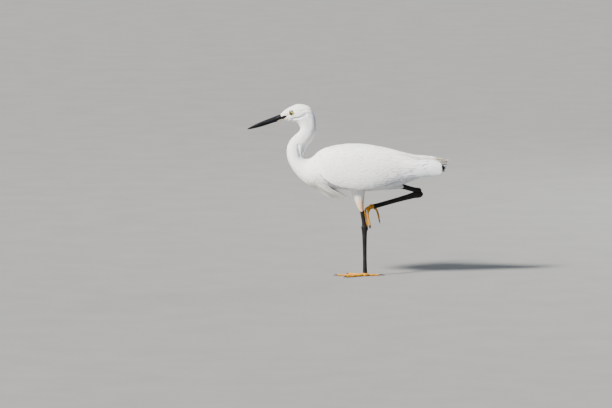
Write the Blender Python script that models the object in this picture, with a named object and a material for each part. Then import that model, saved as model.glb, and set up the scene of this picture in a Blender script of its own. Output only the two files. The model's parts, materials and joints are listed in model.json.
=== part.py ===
"""A little egret at life size, caught in mid-step as a still museum model.

Metres, +Z up. The bird faces -X and its left side faces -Y. It stands on its left foot on
the plane Z = 0, with its right foot lifted, and the origin is under the middle of its box.
"""

import math
import random

import bmesh
import bpy
from mathutils import Vector

GAP = 0.0003  # between pieces that touch
SIDE_OF = {"left": -1.0, "right": 1.0}  # the sign of Y on each side

BILL_BASE = Vector((-0.1396, 0.0, 0.3426))
BILL_TIP = Vector((-0.2145, 0.0, 0.3165))
EYE_RADIUS = 0.0046
EYE_PLACE = (-0.1190, 0.0100, 0.3526)
TAIL_TIP_X = 0.2145

# The trunk from the face to the rump, in sections across the body. Each section is the
# point of its lower or front edge (x, z), the point of its upper or rear edge (x, z), both
# in the plane of symmetry, and the half width between them.
HEAD_SECTIONS = [
    (-0.1370, 0.3359, -0.1418, 0.3500, 0.0062),
    (-0.1300, 0.3345, -0.1330, 0.3595, 0.0096),
    (-0.1235, 0.3335, -0.1215, 0.3660, 0.0124),
    (-0.1165, 0.3325, -0.1075, 0.3700, 0.0144),
    (-0.1105, 0.3310, -0.0930, 0.3695, 0.0154),
    (-0.1060, 0.3290, -0.0805, 0.3640, 0.0154),
    (-0.1030, 0.3260, -0.0720, 0.3520, 0.0146),
    (-0.1005, 0.3215, -0.0670, 0.3390, 0.0140),
]
NECK_SECTIONS = [
    (-0.1000, 0.3175, -0.0660, 0.3260, 0.0136),
    (-0.1010, 0.3135, -0.0665, 0.3150, 0.0134),
    (-0.1055, 0.3080, -0.0690, 0.3060, 0.0136),
    (-0.1125, 0.3025, -0.0745, 0.2945, 0.0142),
    (-0.1205, 0.2945, -0.0810, 0.2855, 0.0150),
    (-0.1260, 0.2845, -0.0865, 0.2780, 0.0155),
    (-0.1285, 0.2735, -0.0900, 0.2705, 0.0160),
    (-0.1285, 0.2610, -0.0935, 0.2630, 0.0166),
    (-0.1255, 0.2480, -0.0945, 0.2575, 0.0176),
    (-0.1190, 0.2350, -0.0915, 0.2535, 0.0192),
    (-0.1095, 0.2210, -0.0860, 0.2520, 0.0215),
]
TORSO_SECTIONS = [
    (-0.0975, 0.2090, -0.0800, 0.2535, 0.0250),
    (-0.0830, 0.1985, -0.0725, 0.2565, 0.0300),
    (-0.0655, 0.1920, -0.0620, 0.2670, 0.0350),
    (-0.0475, 0.1890, -0.0435, 0.2765, 0.0390),
    (-0.0235, 0.1890, -0.0215, 0.2800, 0.0415),
    (0.0065, 0.1865, 0.0065, 0.2805, 0.0425),
    (0.0365, 0.1840, 0.0365, 0.2795, 0.0415),
    (0.0690, 0.1860, 0.0665, 0.2750, 0.0385),
    (0.0990, 0.1915, 0.0970, 0.2685, 0.0330),
    (0.1225, 0.1990, 0.1235, 0.2605, 0.0260),
    (0.1375, 0.2050, 0.1375, 0.2545, 0.0195),
    (0.1485, 0.2095, 0.1485, 0.2495, 0.0140),
]
TRUNK = HEAD_SECTIONS + NECK_SECTIONS + TORSO_SECTIONS
HEAD_END = len(HEAD_SECTIONS) - 1.0
NECK_BEND = HEAD_END + 6.0
NECK_END = HEAD_END + len(NECK_SECTIONS)
TRUNK_END = len(TRUNK) - 1.0

# The tail's solid root: X, its lower and upper edges' heights and its half width.
TAIL_SECTIONS = [
    (0.1485 + GAP / 2, 0.2095, 0.2495, 0.0136),
    (0.1600, 0.2140, 0.2450, 0.0122),
    (0.1720, 0.2190, 0.2400, 0.0100),
    (0.1830, 0.2245, 0.2355, 0.0070),
]
TAIL_QUILLS = 10

# The folded wing's outer face, by X: its upper edge's height, its lower edge's height, and
# the crown, keel and half width of the oval that it lies on.
WING_SECTIONS = [
    (-0.0640, 0.2530, 0.2360, 0.268, 0.190, 0.0375),
    (-0.0540, 0.2645, 0.2215, 0.270, 0.186, 0.0420),
    (-0.0365, 0.2760, 0.2065, 0.2768, 0.180, 0.0460),
    (-0.0150, 0.2808, 0.1965, 0.2813, 0.176, 0.0480),
    (0.0110, 0.2826, 0.1905, 0.2831, 0.172, 0.0490),
    (0.0385, 0.2816, 0.1890, 0.2821, 0.171, 0.0485),
    (0.0665, 0.2772, 0.1935, 0.2777, 0.175, 0.0460),
    (0.0945, 0.2712, 0.2035, 0.2717, 0.185, 0.0410),
    (0.1225, 0.2632, 0.2110, 0.2637, 0.195, 0.0345),
    (0.1505, 0.2564, 0.2145, 0.2570, 0.203, 0.0285),
    (0.1740, 0.2540, 0.2165, 0.2547, 0.207, 0.0235),
    (0.1915, 0.2515, 0.2180, 0.2524, 0.209, 0.0200),
    (0.2065, 0.2440, 0.2200, 0.2460, 0.211, 0.0165),
]
WING_OVAL = 2.3  # the oval's exponent: 2 is an ellipse
WING_CORE_END = 0.196
WING_THICKNESS = 0.0078

WHITE = (0.93, 0.93, 0.91)
HORN = (0.018, 0.018, 0.022)
SKIN_BLACK = (0.022, 0.022, 0.024)
YELLOW = (0.78, 0.50, 0.05)
IRIS = (0.86, 0.76, 0.36)


def clear_scene():
    for thing in list(bpy.data.objects):
        bpy.data.objects.remove(thing, do_unlink=True)


def material(name, colour, roughness):
    made = bpy.data.materials.get(name) or bpy.data.materials.new(name)
    made.use_nodes = True
    shader = made.node_tree.nodes["Principled BSDF"]
    shader.inputs["Base Color"].default_value = (*colour, 1.0)
    shader.inputs["Roughness"].default_value = roughness
    shader.inputs["Metallic"].default_value = 0.0
    return made


def plumage():
    return material("plumage", WHITE, 0.85)


def horn():
    return material("bill_horn", HORN, 0.35)


def leg_skin():
    return material("leg_skin", SKIN_BLACK, 0.5)


def toe_skin():
    return material("toe_skin", YELLOW, 0.5)


def claw_horn():
    return material("claw_horn", HORN, 0.3)


def spline(values, place):
    """A smooth curve through values, read at a place counted in values."""
    last = len(values) - 1
    i = min(max(int(place), 0), last - 1)
    t = place - i
    before, start = values[max(i - 1, 0)], values[i]
    end, after = values[i + 1], values[min(i + 2, last)]
    return 0.5 * (
        2 * start
        + (end - before) * t
        + (2 * before - 5 * start + 4 * end - after) * t * t
        + (3 * start - before - 3 * end + after) * t * t * t
    )


def blend(table, x, column):
    """One column of a table whose first column rises, read smoothly at x."""
    count = len(table)
    i = max(k for k in range(count - 1) if k == 0 or table[k][0] <= x)

    def slope(k):
        low, high = max(k - 1, 0), min(k + 1, count - 1)
        return (table[high][column] - table[low][column]) / (table[high][0] - table[low][0])

    step = table[i + 1][0] - table[i][0]
    t = min(max((x - table[i][0]) / step, 0.0), 1.0)
    rest = 1 - t
    return (
        table[i][column] * (1 + 2 * t) * rest * rest
        + slope(i) * step * t * rest * rest
        + table[i + 1][column] * t * t * (3 - 2 * t)
        - slope(i + 1) * step * t * t * rest
    )


def new_object(name, points, faces, look):
    mesh = bpy.data.meshes.new(name)
    mesh.from_pydata([tuple(p) for p in points], [], faces)
    work = bmesh.new()
    work.from_mesh(mesh)
    bmesh.ops.recalc_face_normals(work, faces=work.faces)
    if work.calc_volume(signed=True) < 0:
        bmesh.ops.reverse_faces(work, faces=work.faces)
    work.to_mesh(mesh)
    work.free()
    made = bpy.data.objects.new(name, mesh)
    bpy.context.scene.collection.objects.link(made)
    made.data.materials.append(look)
    made.data.shade_smooth()
    made.data.set_sharp_from_angle(angle=math.radians(40))
    return made


def loft(name, rings, look, tip=None):
    """One closed body through rings of points, with a flat cap at each end or a point."""
    count = len(rings[0])
    points = [p for ring in rings for p in ring]
    faces = [tuple(range(count))]
    for r in range(len(rings) - 1):
        for k in range(count):
            a, b = r * count + k, r * count + (k + 1) % count
            faces.append((a, b, b + count, a + count))
    last = (len(rings) - 1) * count
    if tip is None:
        faces.append(tuple(range(last, last + count)))
    else:
        points.append(tip)
        faces += [(last + k, last + (k + 1) % count, len(points) - 1) for k in range(count)]
    return new_object(name, points, faces, look)


def oval(angle, power):
    """(along, across) on a unit oval, from the upper end at 0 to the lower end at pi."""
    c, s = math.cos(angle), math.sin(angle)
    return (
        math.copysign(abs(c) ** (2 / power), c),
        math.copysign(abs(s) ** (2 / power), s),
    )


def trunk_section(place, grow=0.0):
    """(centre, upward half axis, half width) of the trunk at a place counted in sections."""
    low_x, low_z, high_x, high_z, width = (
        spline([section[k] for section in TRUNK], place) for k in range(5)
    )
    low, high = Vector((low_x, 0, low_z)), Vector((high_x, 0, high_z))
    up = (high - low) / 2
    return (low + high) / 2, up * (1 + grow / up.length), width + grow


def trunk_point(place, angle, lift=0.0):
    """A point of the trunk's skin, the angle running from the back down its +Y side."""
    centre, up, width = trunk_section(place, lift)
    along, across = oval(angle, 2.15)
    return centre + up * along + Vector((0, width * across, 0))


def trunk_ring(place, sides, grow=0.0, slide=0.0):
    """One ring of the trunk, moved along it by slide so that cut faces keep their gap."""
    _, up, _ = trunk_section(place)
    normal = Vector((0, 1, 0)).cross(up).normalized()
    return [
        trunk_point(place, 2 * math.pi * k / sides, grow) + normal * slide
        for k in range(sides)
    ]


def trunk_length(name, start, end, steps, sides, look, grow=0.0):
    """A length of the trunk, ending half a gap short of each cut."""
    rings = []
    for k in range(steps + 1):
        place = start + (end - start) * k / steps
        slide = {0: GAP / 2, steps: -GAP / 2}.get(k, 0.0) if grow == 0.0 else 0.0
        rings.append(trunk_ring(place, sides, grow, slide))
    return loft(name, rings, look)


def tube_rings(centres, depths, widths, sides, across=Vector((0, 1, 0)), start_angle=0.0):
    """Rings round a bent limb, each square to its path. Depths lie in the leg's plane."""
    rings = []
    for k, centre in enumerate(centres):
        before, after = centres[max(k - 1, 0)], centres[min(k + 1, len(centres) - 1)]
        along = (after - before).normalized()
        wide = (across - along * across.dot(along)).normalized()
        deep = along.cross(wide)
        rings.append(
            [
                centre
                + deep * depths[k] * math.cos(start_angle + 2 * math.pi * j / sides)
                + wide * widths[k] * math.sin(start_angle + 2 * math.pi * j / sides)
                for j in range(sides)
            ]
        )
    return rings


def smooth_path(points, steps):
    """Points spread along a smooth curve through the points given."""
    last = len(points) - 1
    return [
        Vector([spline([p[axis] for p in points], last * k / steps) for axis in range(3)])
        for k in range(steps + 1)
    ]


def smooth_sizes(sizes, steps):
    return [spline(sizes, (len(sizes) - 1) * k / steps) for k in range(steps + 1)]


def evaluated_copy(thing):
    graph = bpy.context.evaluated_depsgraph_get()
    return bpy.data.meshes.new_from_object(thing.evaluated_get(graph))


def keep_largest(thing):
    """Leaves only the largest closed surface: no scrap and no sealed hollow."""
    work = bmesh.new()
    work.from_mesh(thing.data)
    work.faces.ensure_lookup_table()
    unseen = set(work.faces)
    shells = []
    while unseen:
        front = [unseen.pop()]
        shell = set(front)
        while front:
            for edge in front.pop().edges:
                for face in edge.link_faces:
                    if face in unseen:
                        unseen.discard(face)
                        shell.add(face)
                        front.append(face)
        shells.append(shell)

    def volume(shell):
        return sum(
            face.calc_center_median().dot(face.normal) * face.calc_area() / 3 for face in shell
        )

    largest = max(shells, key=volume)
    scraps = [face for shell in shells if shell is not largest for face in shell]
    bmesh.ops.delete(work, geom=scraps, context="FACES")
    work.to_mesh(thing.data)
    work.free()


def apply_boolean(thing, operation, others, solver="EXACT"):
    """Joins or cuts a body by closed pieces, which are then removed."""
    group = bpy.data.collections.new(thing.name + "_pieces")
    bpy.context.scene.collection.children.link(group)
    for other in others:
        bpy.context.scene.collection.objects.unlink(other)
        group.objects.link(other)
    change = thing.modifiers.new(operation.lower(), "BOOLEAN")
    change.operation = operation
    change.operand_type = "COLLECTION"
    change.collection = group
    change.solver = solver
    bpy.context.view_layer.update()
    made = evaluated_copy(thing)
    thing.modifiers.clear()
    thing.data = made
    for other in list(group.objects):
        bpy.data.objects.remove(other, do_unlink=True)
    bpy.data.collections.remove(group)
    keep_largest(thing)
    return thing


# The outline of a feather, as (share of its length, share of its half width) from the root.
COVERT = ((0.0, 0.60), (0.45, 1.0), (0.86, 0.85))
QUILL = ((0.0, 0.55), (0.25, 0.90), (0.50, 1.0), (0.75, 0.97), (0.94, 0.60))
LOCK = ((0.0, 0.7), (0.38, 1.0), (0.76, 0.8), (0.93, 0.4))


def vane(place, outline, half_width, thickness, sunk, proud, tilt=0.0):
    """One feather's vane: a thin blade with a raised shaft, rooted sunk and ending proud.

    place(t, across, lift) gives its points. Both faces are split into the same triangles.
    """
    points, faces = [], []
    for t, share in outline:
        lift = -sunk + (proud + sunk) * math.sin(t * math.pi / 2)
        wide = half_width * share
        points += [
            place(t, -wide, lift - tilt),
            place(t, 0.0, lift + thickness / 2),
            place(t, wide, lift + tilt),
            place(t, 0.0, lift - thickness / 2),
        ]
    points.append(place(1.0, 0.0, proud))
    faces += [(0, 1, 2), (0, 2, 3)]
    for r in range(len(outline) - 1):
        for k in range(4):
            here, beside = 4 * r + k, 4 * r + (k + 1) % 4
            ahead, far = here + 4, beside + 4
            if k % 2:
                faces += [(here, beside, far), (here, far, ahead)]
            else:
                faces += [(here, beside, ahead), (beside, far, ahead)]
    last = 4 * (len(outline) - 1)
    faces += [(last + k, last + (k + 1) % 4, last + 4) for k in range(4)]
    return new_object("vane", points, faces, plumage())


def free_path(route, wide_axis):
    """A place function for a vane that leaves its body along a bent path."""

    def place(t, across, lift):
        here = Vector([spline([p[axis] for p in route], t * (len(route) - 1)) for axis in range(3)])
        ahead_at = min(t + 0.02, 1.0)
        behind_at = ahead_at - 0.04
        ahead, behind = (
            Vector([spline([p[axis] for p in route], s * (len(route) - 1)) for axis in range(3)])
            for s in (ahead_at, behind_at)
        )
        along = (ahead - behind).normalized()
        wide = (wide_axis - along * wide_axis.dot(along)).normalized()
        return here + wide * across + wide.cross(along) * lift

    return place


def wing_edge_angles(x):
    """The angles on the wing's oval of its upper and lower edges."""
    upper, lower, crown, keel = (blend(WING_SECTIONS, x, k) for k in (1, 2, 3, 4))
    middle, half = (crown + keel) / 2, (crown - keel) / 2
    angles = []
    for z in (upper, lower):
        share = max(-1.0, min(1.0, (z - middle) / half))
        angles.append(math.acos(math.copysign(abs(share) ** (WING_OVAL / 2), share)))
    return angles


def wing_point(side, x, down, lift=0.0):
    """A point of the folded wing, down running from its upper edge at 0 to its lower at 1."""
    crown, keel, width = (blend(WING_SECTIONS, x, k) for k in (3, 4, 5))
    top, bottom = wing_edge_angles(x)
    angle = top + (bottom - top) * down
    along, across = oval(angle, WING_OVAL)
    half = (crown - keel) / 2
    face = Vector((0, width * across, half * along))
    slant = Vector((0, across / width, along / half)).normalized()
    point = Vector((x, 0, (crown + keel) / 2)) + face + slant * lift
    return Vector((point.x, point.y * SIDE_OF[side], point.z))


def wing_height(x):
    """The length over the wing's curve from its upper to its lower edge."""
    steps = 6
    row = [wing_point("right", x, k / steps) for k in range(steps + 1)]
    return sum((b - a).length for a, b in zip(row, row[1:]))


def wing_core(side):
    """The wing's plain body under its feathers, thin at its edges and towards its tip."""
    lengths, heights = 13, 7
    front = WING_SECTIONS[0][0]
    outer, inner = [], []
    for i in range(lengths + 1):
        share = i / lengths
        x = front + (WING_CORE_END - front) * share
        for j in range(heights + 1):
            down = j / heights
            edge = min(1.0, 4 * min(down + 0.12, 1.12 - down, share + 0.12))
            thick = WING_THICKNESS * (1 - 0.80 * share**2.2) * edge
            outer.append(wing_point(side, x, down, -0.0004))
            inner.append(wing_point(side, x, down, -0.0004 - thick))
    points = outer + inner
    row, sheet = heights + 1, len(outer)
    faces = []
    for i in range(lengths):
        for j in range(heights):
            a, b, c, d = i * row + j, (i + 1) * row + j, (i + 1) * row + j + 1, i * row + j + 1
            faces += [(a, b, c), (a, c, d)]
            faces += [(a + sheet, c + sheet, b + sheet), (a + sheet, d + sheet, c + sheet)]
    for i in range(lengths):
        for j in (0, heights):
            a, b = i * row + j, (i + 1) * row + j
            faces.append((a, b, b + sheet, a + sheet))
    for j in range(heights):
        for i in (0, lengths):
            a, b = i * row + j, i * row + j + 1
            faces.append((a, b, b + sheet, a + sheet))
    return new_object("wing_" + side, points, faces, plumage())


# The wing's tiers, laid from the shoulder to the tip. Each is its count of feathers, the
# span down the wing that their roots cover, the X of its first and last root, their length,
# half width, how far each slants down as it runs back, and how proud its tips stand.
WING_TIERS = {
    "lesser_coverts": (5, (0.12, 0.86), (-0.054, -0.050), 0.020, 0.0098, 0.03, 0.0010),
    "median_coverts": (6, (0.10, 0.90), (-0.036, -0.038), 0.028, 0.0096, 0.03, 0.0011),
    "greater_coverts": (7, (0.08, 0.92), (-0.012, -0.018), 0.040, 0.0094, 0.02, 0.0012),
    "secondaries": (6, (0.44, 0.95), (0.040, 0.016), 0.082, 0.0090, 0.01, 0.0011),
    "tertials": (4, (0.10, 0.40), (0.030, 0.040), 0.112, 0.0090, 0.06, 0.0013),
    "primaries": (5, (0.30, 0.86), (0.112, 0.104), 0.094, 0.0066, 0.02, 0.0009),
}
LEAST_TIP_X = 0.003  # the wing's longest feather ends this far short of the tail's tip


def wing_vanes(side):
    """Every tier of the wing, each feather's lower edge lying over the next one down."""
    made = []
    for number, (name, tier) in enumerate(WING_TIERS.items()):
        count, downs, starts, length, wide, slant, proud = tier
        outline = COVERT if name.endswith("coverts") else QUILL
        draw = random.Random(40 + number)
        for k in range(count):
            share = k / (count - 1)
            start = starts[0] + (starts[1] - starts[0]) * share
            down = downs[0] + (downs[1] - downs[0]) * share
            reach = length * draw.uniform(0.95, 1.05)
            reach = min(reach, TAIL_TIP_X - LEAST_TIP_X - start)
            fall = slant * draw.uniform(0.7, 1.3)
            stretch = wing_height(start + reach / 2)

            def place(t, across, lift, x=start, b=down, reach=reach, fall=fall, stretch=stretch):
                here = x + reach * t
                at = b + fall * t + across / max(wing_height(here), 0.6 * stretch)
                return wing_point(side, here, min(max(at, 0.0), 1.03), lift)

            lift = proud + 0.0003 * (k % 2)
            made.append(vane(place, outline, wide, 0.0012, 0.0016, lift, 0.0007))
    return made


def build_wing(side):
    """The folded wing, hollowed on its inner side to the body and the thigh."""
    core = wing_core(side)
    apply_boolean(core, "UNION", wing_vanes(side), "MANIFOLD")
    apply_boolean(core, "DIFFERENCE", [trunk_cutter(), thigh(side, "cutter", GAP)], "MANIFOLD")


def back_plumes():
    """The long loose plumes of the mantle, lying in the groove between the folded wings."""
    draw = random.Random(7)
    made = []
    count = 5
    for k in range(count):
        y = 0.0021 * (k - (count - 1) / 2)
        end = 0.196 + 0.012 * draw.random()
        rise = 0.0005 * draw.random() + 0.0009 * (k % 2)
        route = [
            Vector((-0.012 + 0.010 * abs(k - 2), y, 0.2785)),
            Vector((0.040, y, 0.2806 + rise)),
            Vector((0.100, y * 0.9, 0.2700 + rise)),
            Vector((0.155, y * 0.8, 0.2562 + rise)),
            Vector((end, y * 1.4, 0.2540 + rise * 2)),
        ]
        place = free_path(route, Vector((0, 1, 0)))
        made.append(vane(place, QUILL, 0.0020, 0.0012, 0.0012, 0.0006))
    return made


def breast_plumes():
    """The narrow plumes of the lower foreneck, hanging free below the breast."""
    draw = random.Random(19)
    made = []
    count = 16
    for k in range(count):
        share = k / (count - 1)
        y = (-0.0150, 0.0130, -0.0060, 0.0045, -0.0110, 0.0090, -0.0015)[k % 7]
        height = 0.2080 - 0.0155 * (1 - (1 - share) ** 1.8) + 0.0035 * (y / 0.015) ** 2
        root = Vector((-0.092 + 0.042 * share, y, height))
        reach = 0.050 + 0.008 * draw.random()
        drop = 0.0345 - 0.004 * share + 0.003 * draw.uniform(-1, 1)
        middle = root + Vector((reach * 0.45, y * 0.10, -drop * 0.55))
        tip = root + Vector((reach, -y * 0.10, -drop))
        wide = Vector((0.0, 1.0, 0.35 * draw.uniform(-1, 1)))
        place = free_path([root, middle, tip], wide)
        made.append(vane(place, LOCK, 0.0028, 0.0014, 0.0, 0.0))
    return made


TORSO_STEPS = 20
TORSO_SIDES = 20


def trunk_cutter():
    """The body from the breast to the rump, a gap larger all round."""
    return trunk_length("cutter", NECK_END, TRUNK_END, TORSO_STEPS, TORSO_SIDES, plumage(), GAP)


def build_torso():
    torso = trunk_length("torso", NECK_END, TRUNK_END, TORSO_STEPS, TORSO_SIDES, plumage())
    apply_boolean(torso, "UNION", back_plumes() + breast_plumes(), "MANIFOLD")


def eye_place(side):
    x, y, z = EYE_PLACE
    return Vector((x, y * SIDE_OF[side], z))


def ball(name, centre, radii, look, segments=16, rings=8):
    mesh = bpy.data.meshes.new(name)
    work = bmesh.new()
    bmesh.ops.create_uvsphere(work, u_segments=segments, v_segments=rings, radius=1.0)
    for vert in work.verts:
        vert.co = centre + Vector([vert.co[axis] * radii[axis] for axis in range(3)])
    work.to_mesh(mesh)
    work.free()
    made = bpy.data.objects.new(name, mesh)
    bpy.context.scene.collection.objects.link(made)
    made.data.materials.append(look)
    made.data.shade_smooth()
    return made


def eyelid(side):
    """The rim of lids round the eye, a ring that stands a little off the head."""
    centre = eye_place(side) + Vector((0, 0.0030 * SIDE_OF[side], 0))
    around, thick, turns, sides = 0.0047, 0.0010, 16, 6
    points = []
    for i in range(turns):
        spoke = Vector((math.cos(2 * math.pi * i / turns), 0, 0.86 * math.sin(2 * math.pi * i / turns)))
        for j in range(sides):
            angle = 2 * math.pi * j / sides
            out = spoke * (around + thick * math.cos(angle))
            points.append(centre + out + Vector((0, thick * 1.2 * math.sin(angle), 0)))
    faces = []
    for i in range(turns):
        for j in range(sides):
            a, b = i * sides + j, i * sides + (j + 1) % sides
            c, d = (i + 1) % turns * sides + (j + 1) % sides, (i + 1) % turns * sides + j
            faces.append((a, b, c, d))
    return new_object("eyelid", points, faces, plumage())


def gape_groove(side):
    """A cutter for the line of the mouth, from the bill back to below the eye."""
    route = [
        Vector((-0.1405, 0.0062, 0.3425)),
        Vector((-0.1345, 0.0086, 0.3428)),
        Vector((-0.1285, 0.0112, 0.3436)),
        Vector((-0.1235, 0.0136, 0.3440)),
    ]
    route = [Vector((p.x, p.y * SIDE_OF[side], p.z)) for p in route]
    centres = smooth_path(route, 6)
    return loft("groove", tube_rings(centres, [0.0006] * 7, [0.0010] * 7, 6), plumage())


def build_head():
    head = trunk_length("head", 0.0, HEAD_END + 0.5, 16, 20, plumage())
    apply_boolean(head, "UNION", [eyelid("left"), eyelid("right")])
    sockets = []
    for side in SIDE_OF:
        radius = EYE_RADIUS + GAP
        sockets.append(ball("socket", eye_place(side), [radius] * 3, plumage(), 16, 8))
        sockets.append(gape_groove(side))
    apply_boolean(head, "DIFFERENCE", sockets)


def build_eyes():
    look = material("eye", IRIS, 0.1)
    for side in SIDE_OF:
        ball("eye_" + side, eye_place(side), [EYE_RADIUS] * 3, look, 16, 10)


# Along the bill from its base to its tip: the share of its length, the height of the
# upper bill and the depth of the lower one about the line between them, and the half width.
BILL_SECTIONS = [
    (0.00, 0.0070, 0.0064, 0.0056),
    (0.10, 0.0067, 0.0054, 0.0050),
    (0.30, 0.0061, 0.0045, 0.0043),
    (0.52, 0.0055, 0.0042, 0.0036),
    (0.72, 0.0044, 0.0033, 0.0027),
    (0.88, 0.0025, 0.0019, 0.0017),
    (0.97, 0.0011, 0.0009, 0.0008),
]
NOSTRIL_PLACE = 0.17


def bill_half(name, upward, look):
    """The upper bill or the lower one, a half oval with its flat side on the mouth line."""
    along = (BILL_TIP - BILL_BASE).normalized()
    up = Vector((0, 1, 0)).cross(along).normalized()
    if up.z < 0:
        up = -up
    sign = 1 if upward else -1
    rings = []
    steps, arc = 12, 8
    for k in range(steps + 1):
        share = BILL_SECTIONS[-1][0] * (k / steps)
        height = blend(BILL_SECTIONS, share, 1 if upward else 2)
        width = blend(BILL_SECTIONS, share, 3)
        centre = BILL_BASE + (BILL_TIP - BILL_BASE) * share + up * sign * GAP / 2
        ring = []
        for j in range(arc + 1):
            angle = math.pi * j / arc
            ring.append(
                centre
                + up * sign * height * math.sin(angle) ** 0.85
                + Vector((0, width * math.cos(angle), 0))
            )
        rings.append(ring)
    tip = BILL_TIP + up * sign * GAP * 0.8
    return loft(name, rings, look, tip)


def build_bill():
    upper = bill_half("bill_upper", True, horn())
    bill_half("bill_lower", False, horn())
    along = (BILL_TIP - BILL_BASE).normalized()
    up = along.cross(Vector((0, 1, 0)))
    up = up if up.z > 0 else -up
    slits = []
    for side in SIDE_OF:
        width = blend(BILL_SECTIONS, NOSTRIL_PLACE, 3)
        centre = BILL_BASE + (BILL_TIP - BILL_BASE) * NOSTRIL_PLACE + up * 0.0030
        centre += Vector((0, width * 0.93 * SIDE_OF[side], 0))
        ends = [centre - along * 0.0030, centre, centre + along * 0.0030]
        depths, widths = [0.0002, 0.0006, 0.0002], [0.0004, 0.0010, 0.0004]
        slits.append(loft("slit", tube_rings(ends, depths, widths, 8), horn()))
    apply_boolean(upper, "DIFFERENCE", slits)


def tail_point(x, y, lift):
    """The fanned tail's upper face: level along its middle and falling to its sides."""
    share = (x - 0.15) / (TAIL_TIP_X - 0.15)
    return Vector((x, y, 0.2330 - 0.0030 * share - 14.0 * y * y + lift))


def tail_vanes():
    """The fanned quills, with short coverts over and under them."""
    draw = random.Random(11)
    made = []
    for k in range(TAIL_QUILLS):
        spread = -1 + 2 * k / (TAIL_QUILLS - 1)
        end = TAIL_TIP_X - 0.004 * abs(spread) - 0.002 * draw.random()
        if k == TAIL_QUILLS // 2:
            end = TAIL_TIP_X
        level = 0.0024 * (1 - abs(spread))

        def place(t, across, lift, spread=spread, end=end, level=level):
            x = 0.158 + (end - 0.158) * t
            y = spread * (0.0040 + 0.0045 * t) + across
            return tail_point(x, y, lift + level)

        made.append(vane(place, LOCK, 0.0040, 0.0011, 0.0, 0.0, math.copysign(0.0003, spread)))
    for sign in (1, -1):
        for k in range(5):
            spread = -1 + 0.5 * k
            top = 0.2305 + 0.0135 * sign
            route = [
                Vector((0.157, 0.0050 * spread, top - sign * 0.0040 * abs(spread))),
                Vector((0.172, 0.0075 * spread, top - sign * (0.0030 + 0.0030 * abs(spread)))),
                Vector((0.190, 0.0085 * spread, 0.2330 + sign * (0.0050 - 0.0015 * abs(spread)))),
            ]
            wide = Vector((0, 1, -0.5 * spread * sign))
            made.append(vane(free_path(route, wide), COVERT, 0.0040, 0.0013, 0.0006 * sign, 0.0))
    return made


def tail_core():
    """The tail's solid root, which carries its quills."""
    rings = []
    steps, sides = 5, 16
    for k in range(steps + 1):
        x = TAIL_SECTIONS[0][0] + (TAIL_SECTIONS[-1][0] - TAIL_SECTIONS[0][0]) * k / steps
        low, high, width = (blend(TAIL_SECTIONS, x, column) for column in (1, 2, 3))
        ring = []
        for j in range(sides):
            along, across = oval(2 * math.pi * j / sides, 2.15)
            ring.append(Vector((x, width * across, (low + high) / 2 + (high - low) / 2 * along)))
        rings.append(ring)
    return loft("tail", rings, plumage())


def build_tail():
    apply_boolean(tail_core(), "UNION", tail_vanes(), "MANIFOLD")


# The standing leg stays under the body's weight; the lifted one folds back at the ankle.
# Each thigh's path, with its half depth and half width at each point of the path.
THIGHS = {
    "left": [
        (0.0235, -0.0200, 0.1990, 0.0172, 0.0112),
        (0.0240, -0.0200, 0.1880, 0.0154, 0.0106),
        (0.0250, -0.0195, 0.1780, 0.0128, 0.0094),
        (0.0270, -0.0185, 0.1665, 0.0100, 0.0076),
        (0.0290, -0.0175, 0.1540, 0.0068, 0.0056),
        (0.0315, -0.0160, 0.1440, 0.0043, 0.0038),
    ],
    "right": [
        (0.0430, 0.0200, 0.2030, 0.0150, 0.0108),
        (0.0620, 0.0200, 0.1985, 0.0130, 0.0098),
        (0.0815, 0.0205, 0.1940, 0.0100, 0.0084),
        (0.1010, 0.0210, 0.1918, 0.0068, 0.0062),
        (0.1185, 0.0212, 0.1905, 0.0045, 0.0040),
    ],
}
ANKLES = {
    "left": Vector((0.0380, -0.0130, 0.1070)),
    "right": Vector((0.1540, 0.0210, 0.1780)),
}
ANKLE_RADII = (0.0064, 0.0046, 0.0064)
SHIN_DEPTH = 0.0038
SHIN_WIDTH = 0.0030
PALMS = {
    "left": Vector((0.0390, -0.0065, 0.0028)),
    "right": Vector((0.0540, 0.0150, 0.1480)),
}
TARSUS_SHIFT = {"left": Vector((-0.0004, 0, 0)), "right": Vector((0.0012, 0, -0.0022))}
PALM_RADII = (0.0082, 0.0076, 0.0050)
TARSUS_DEPTHS = [0.0058, 0.0047, 0.0040, 0.0037, 0.0036, 0.0038, 0.0044]
TARSUS_WIDTHS = [0.0040, 0.0032, 0.0027, 0.0025, 0.0026, 0.0032, 0.0042]

# Toes of the standing foot: the angle from straight ahead towards the bird's midline, the
# length without its claw, and the claw's length.
TOES = {
    "inner": (40.0, 0.045, 0.008),
    "middle": (2.0, 0.060, 0.009),
    "outer": (-36.0, 0.050, 0.008),
    "hind": (172.0, 0.031, 0.012),
}
# Toes of the lifted foot, which hang from it half closed, with the claw's tip last.
HANGING_TOES = {
    "inner": [
        (0.0540, 0.0130, 0.1480),
        (0.0478, 0.0110, 0.1410),
        (0.0450, 0.0090, 0.1300),
        (0.0475, 0.0075, 0.1180),
        (0.0500, 0.0070, 0.1080),
        (0.0518, 0.0070, 0.1010),
    ],
    "middle": [
        (0.0520, 0.0155, 0.1475),
        (0.0415, 0.0165, 0.1430),
        (0.0390, 0.0175, 0.1300),
        (0.0412, 0.0180, 0.1160),
        (0.0440, 0.0180, 0.1035),
        (0.0450, 0.0180, 0.0950),
    ],
    "outer": [
        (0.0540, 0.0180, 0.1480),
        (0.0470, 0.0235, 0.1410),
        (0.0440, 0.0270, 0.1290),
        (0.0455, 0.0285, 0.1165),
        (0.0480, 0.0290, 0.1060),
        (0.0492, 0.0290, 0.0985),
    ],
    "hind": [
        (0.0560, 0.0150, 0.1480),
        (0.0640, 0.0150, 0.1400),
        (0.0678, 0.0145, 0.1290),
        (0.0694, 0.0140, 0.1200),
        (0.0716, 0.0138, 0.1105),
    ],
}
TOE_RADIUS = 0.0023
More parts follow.
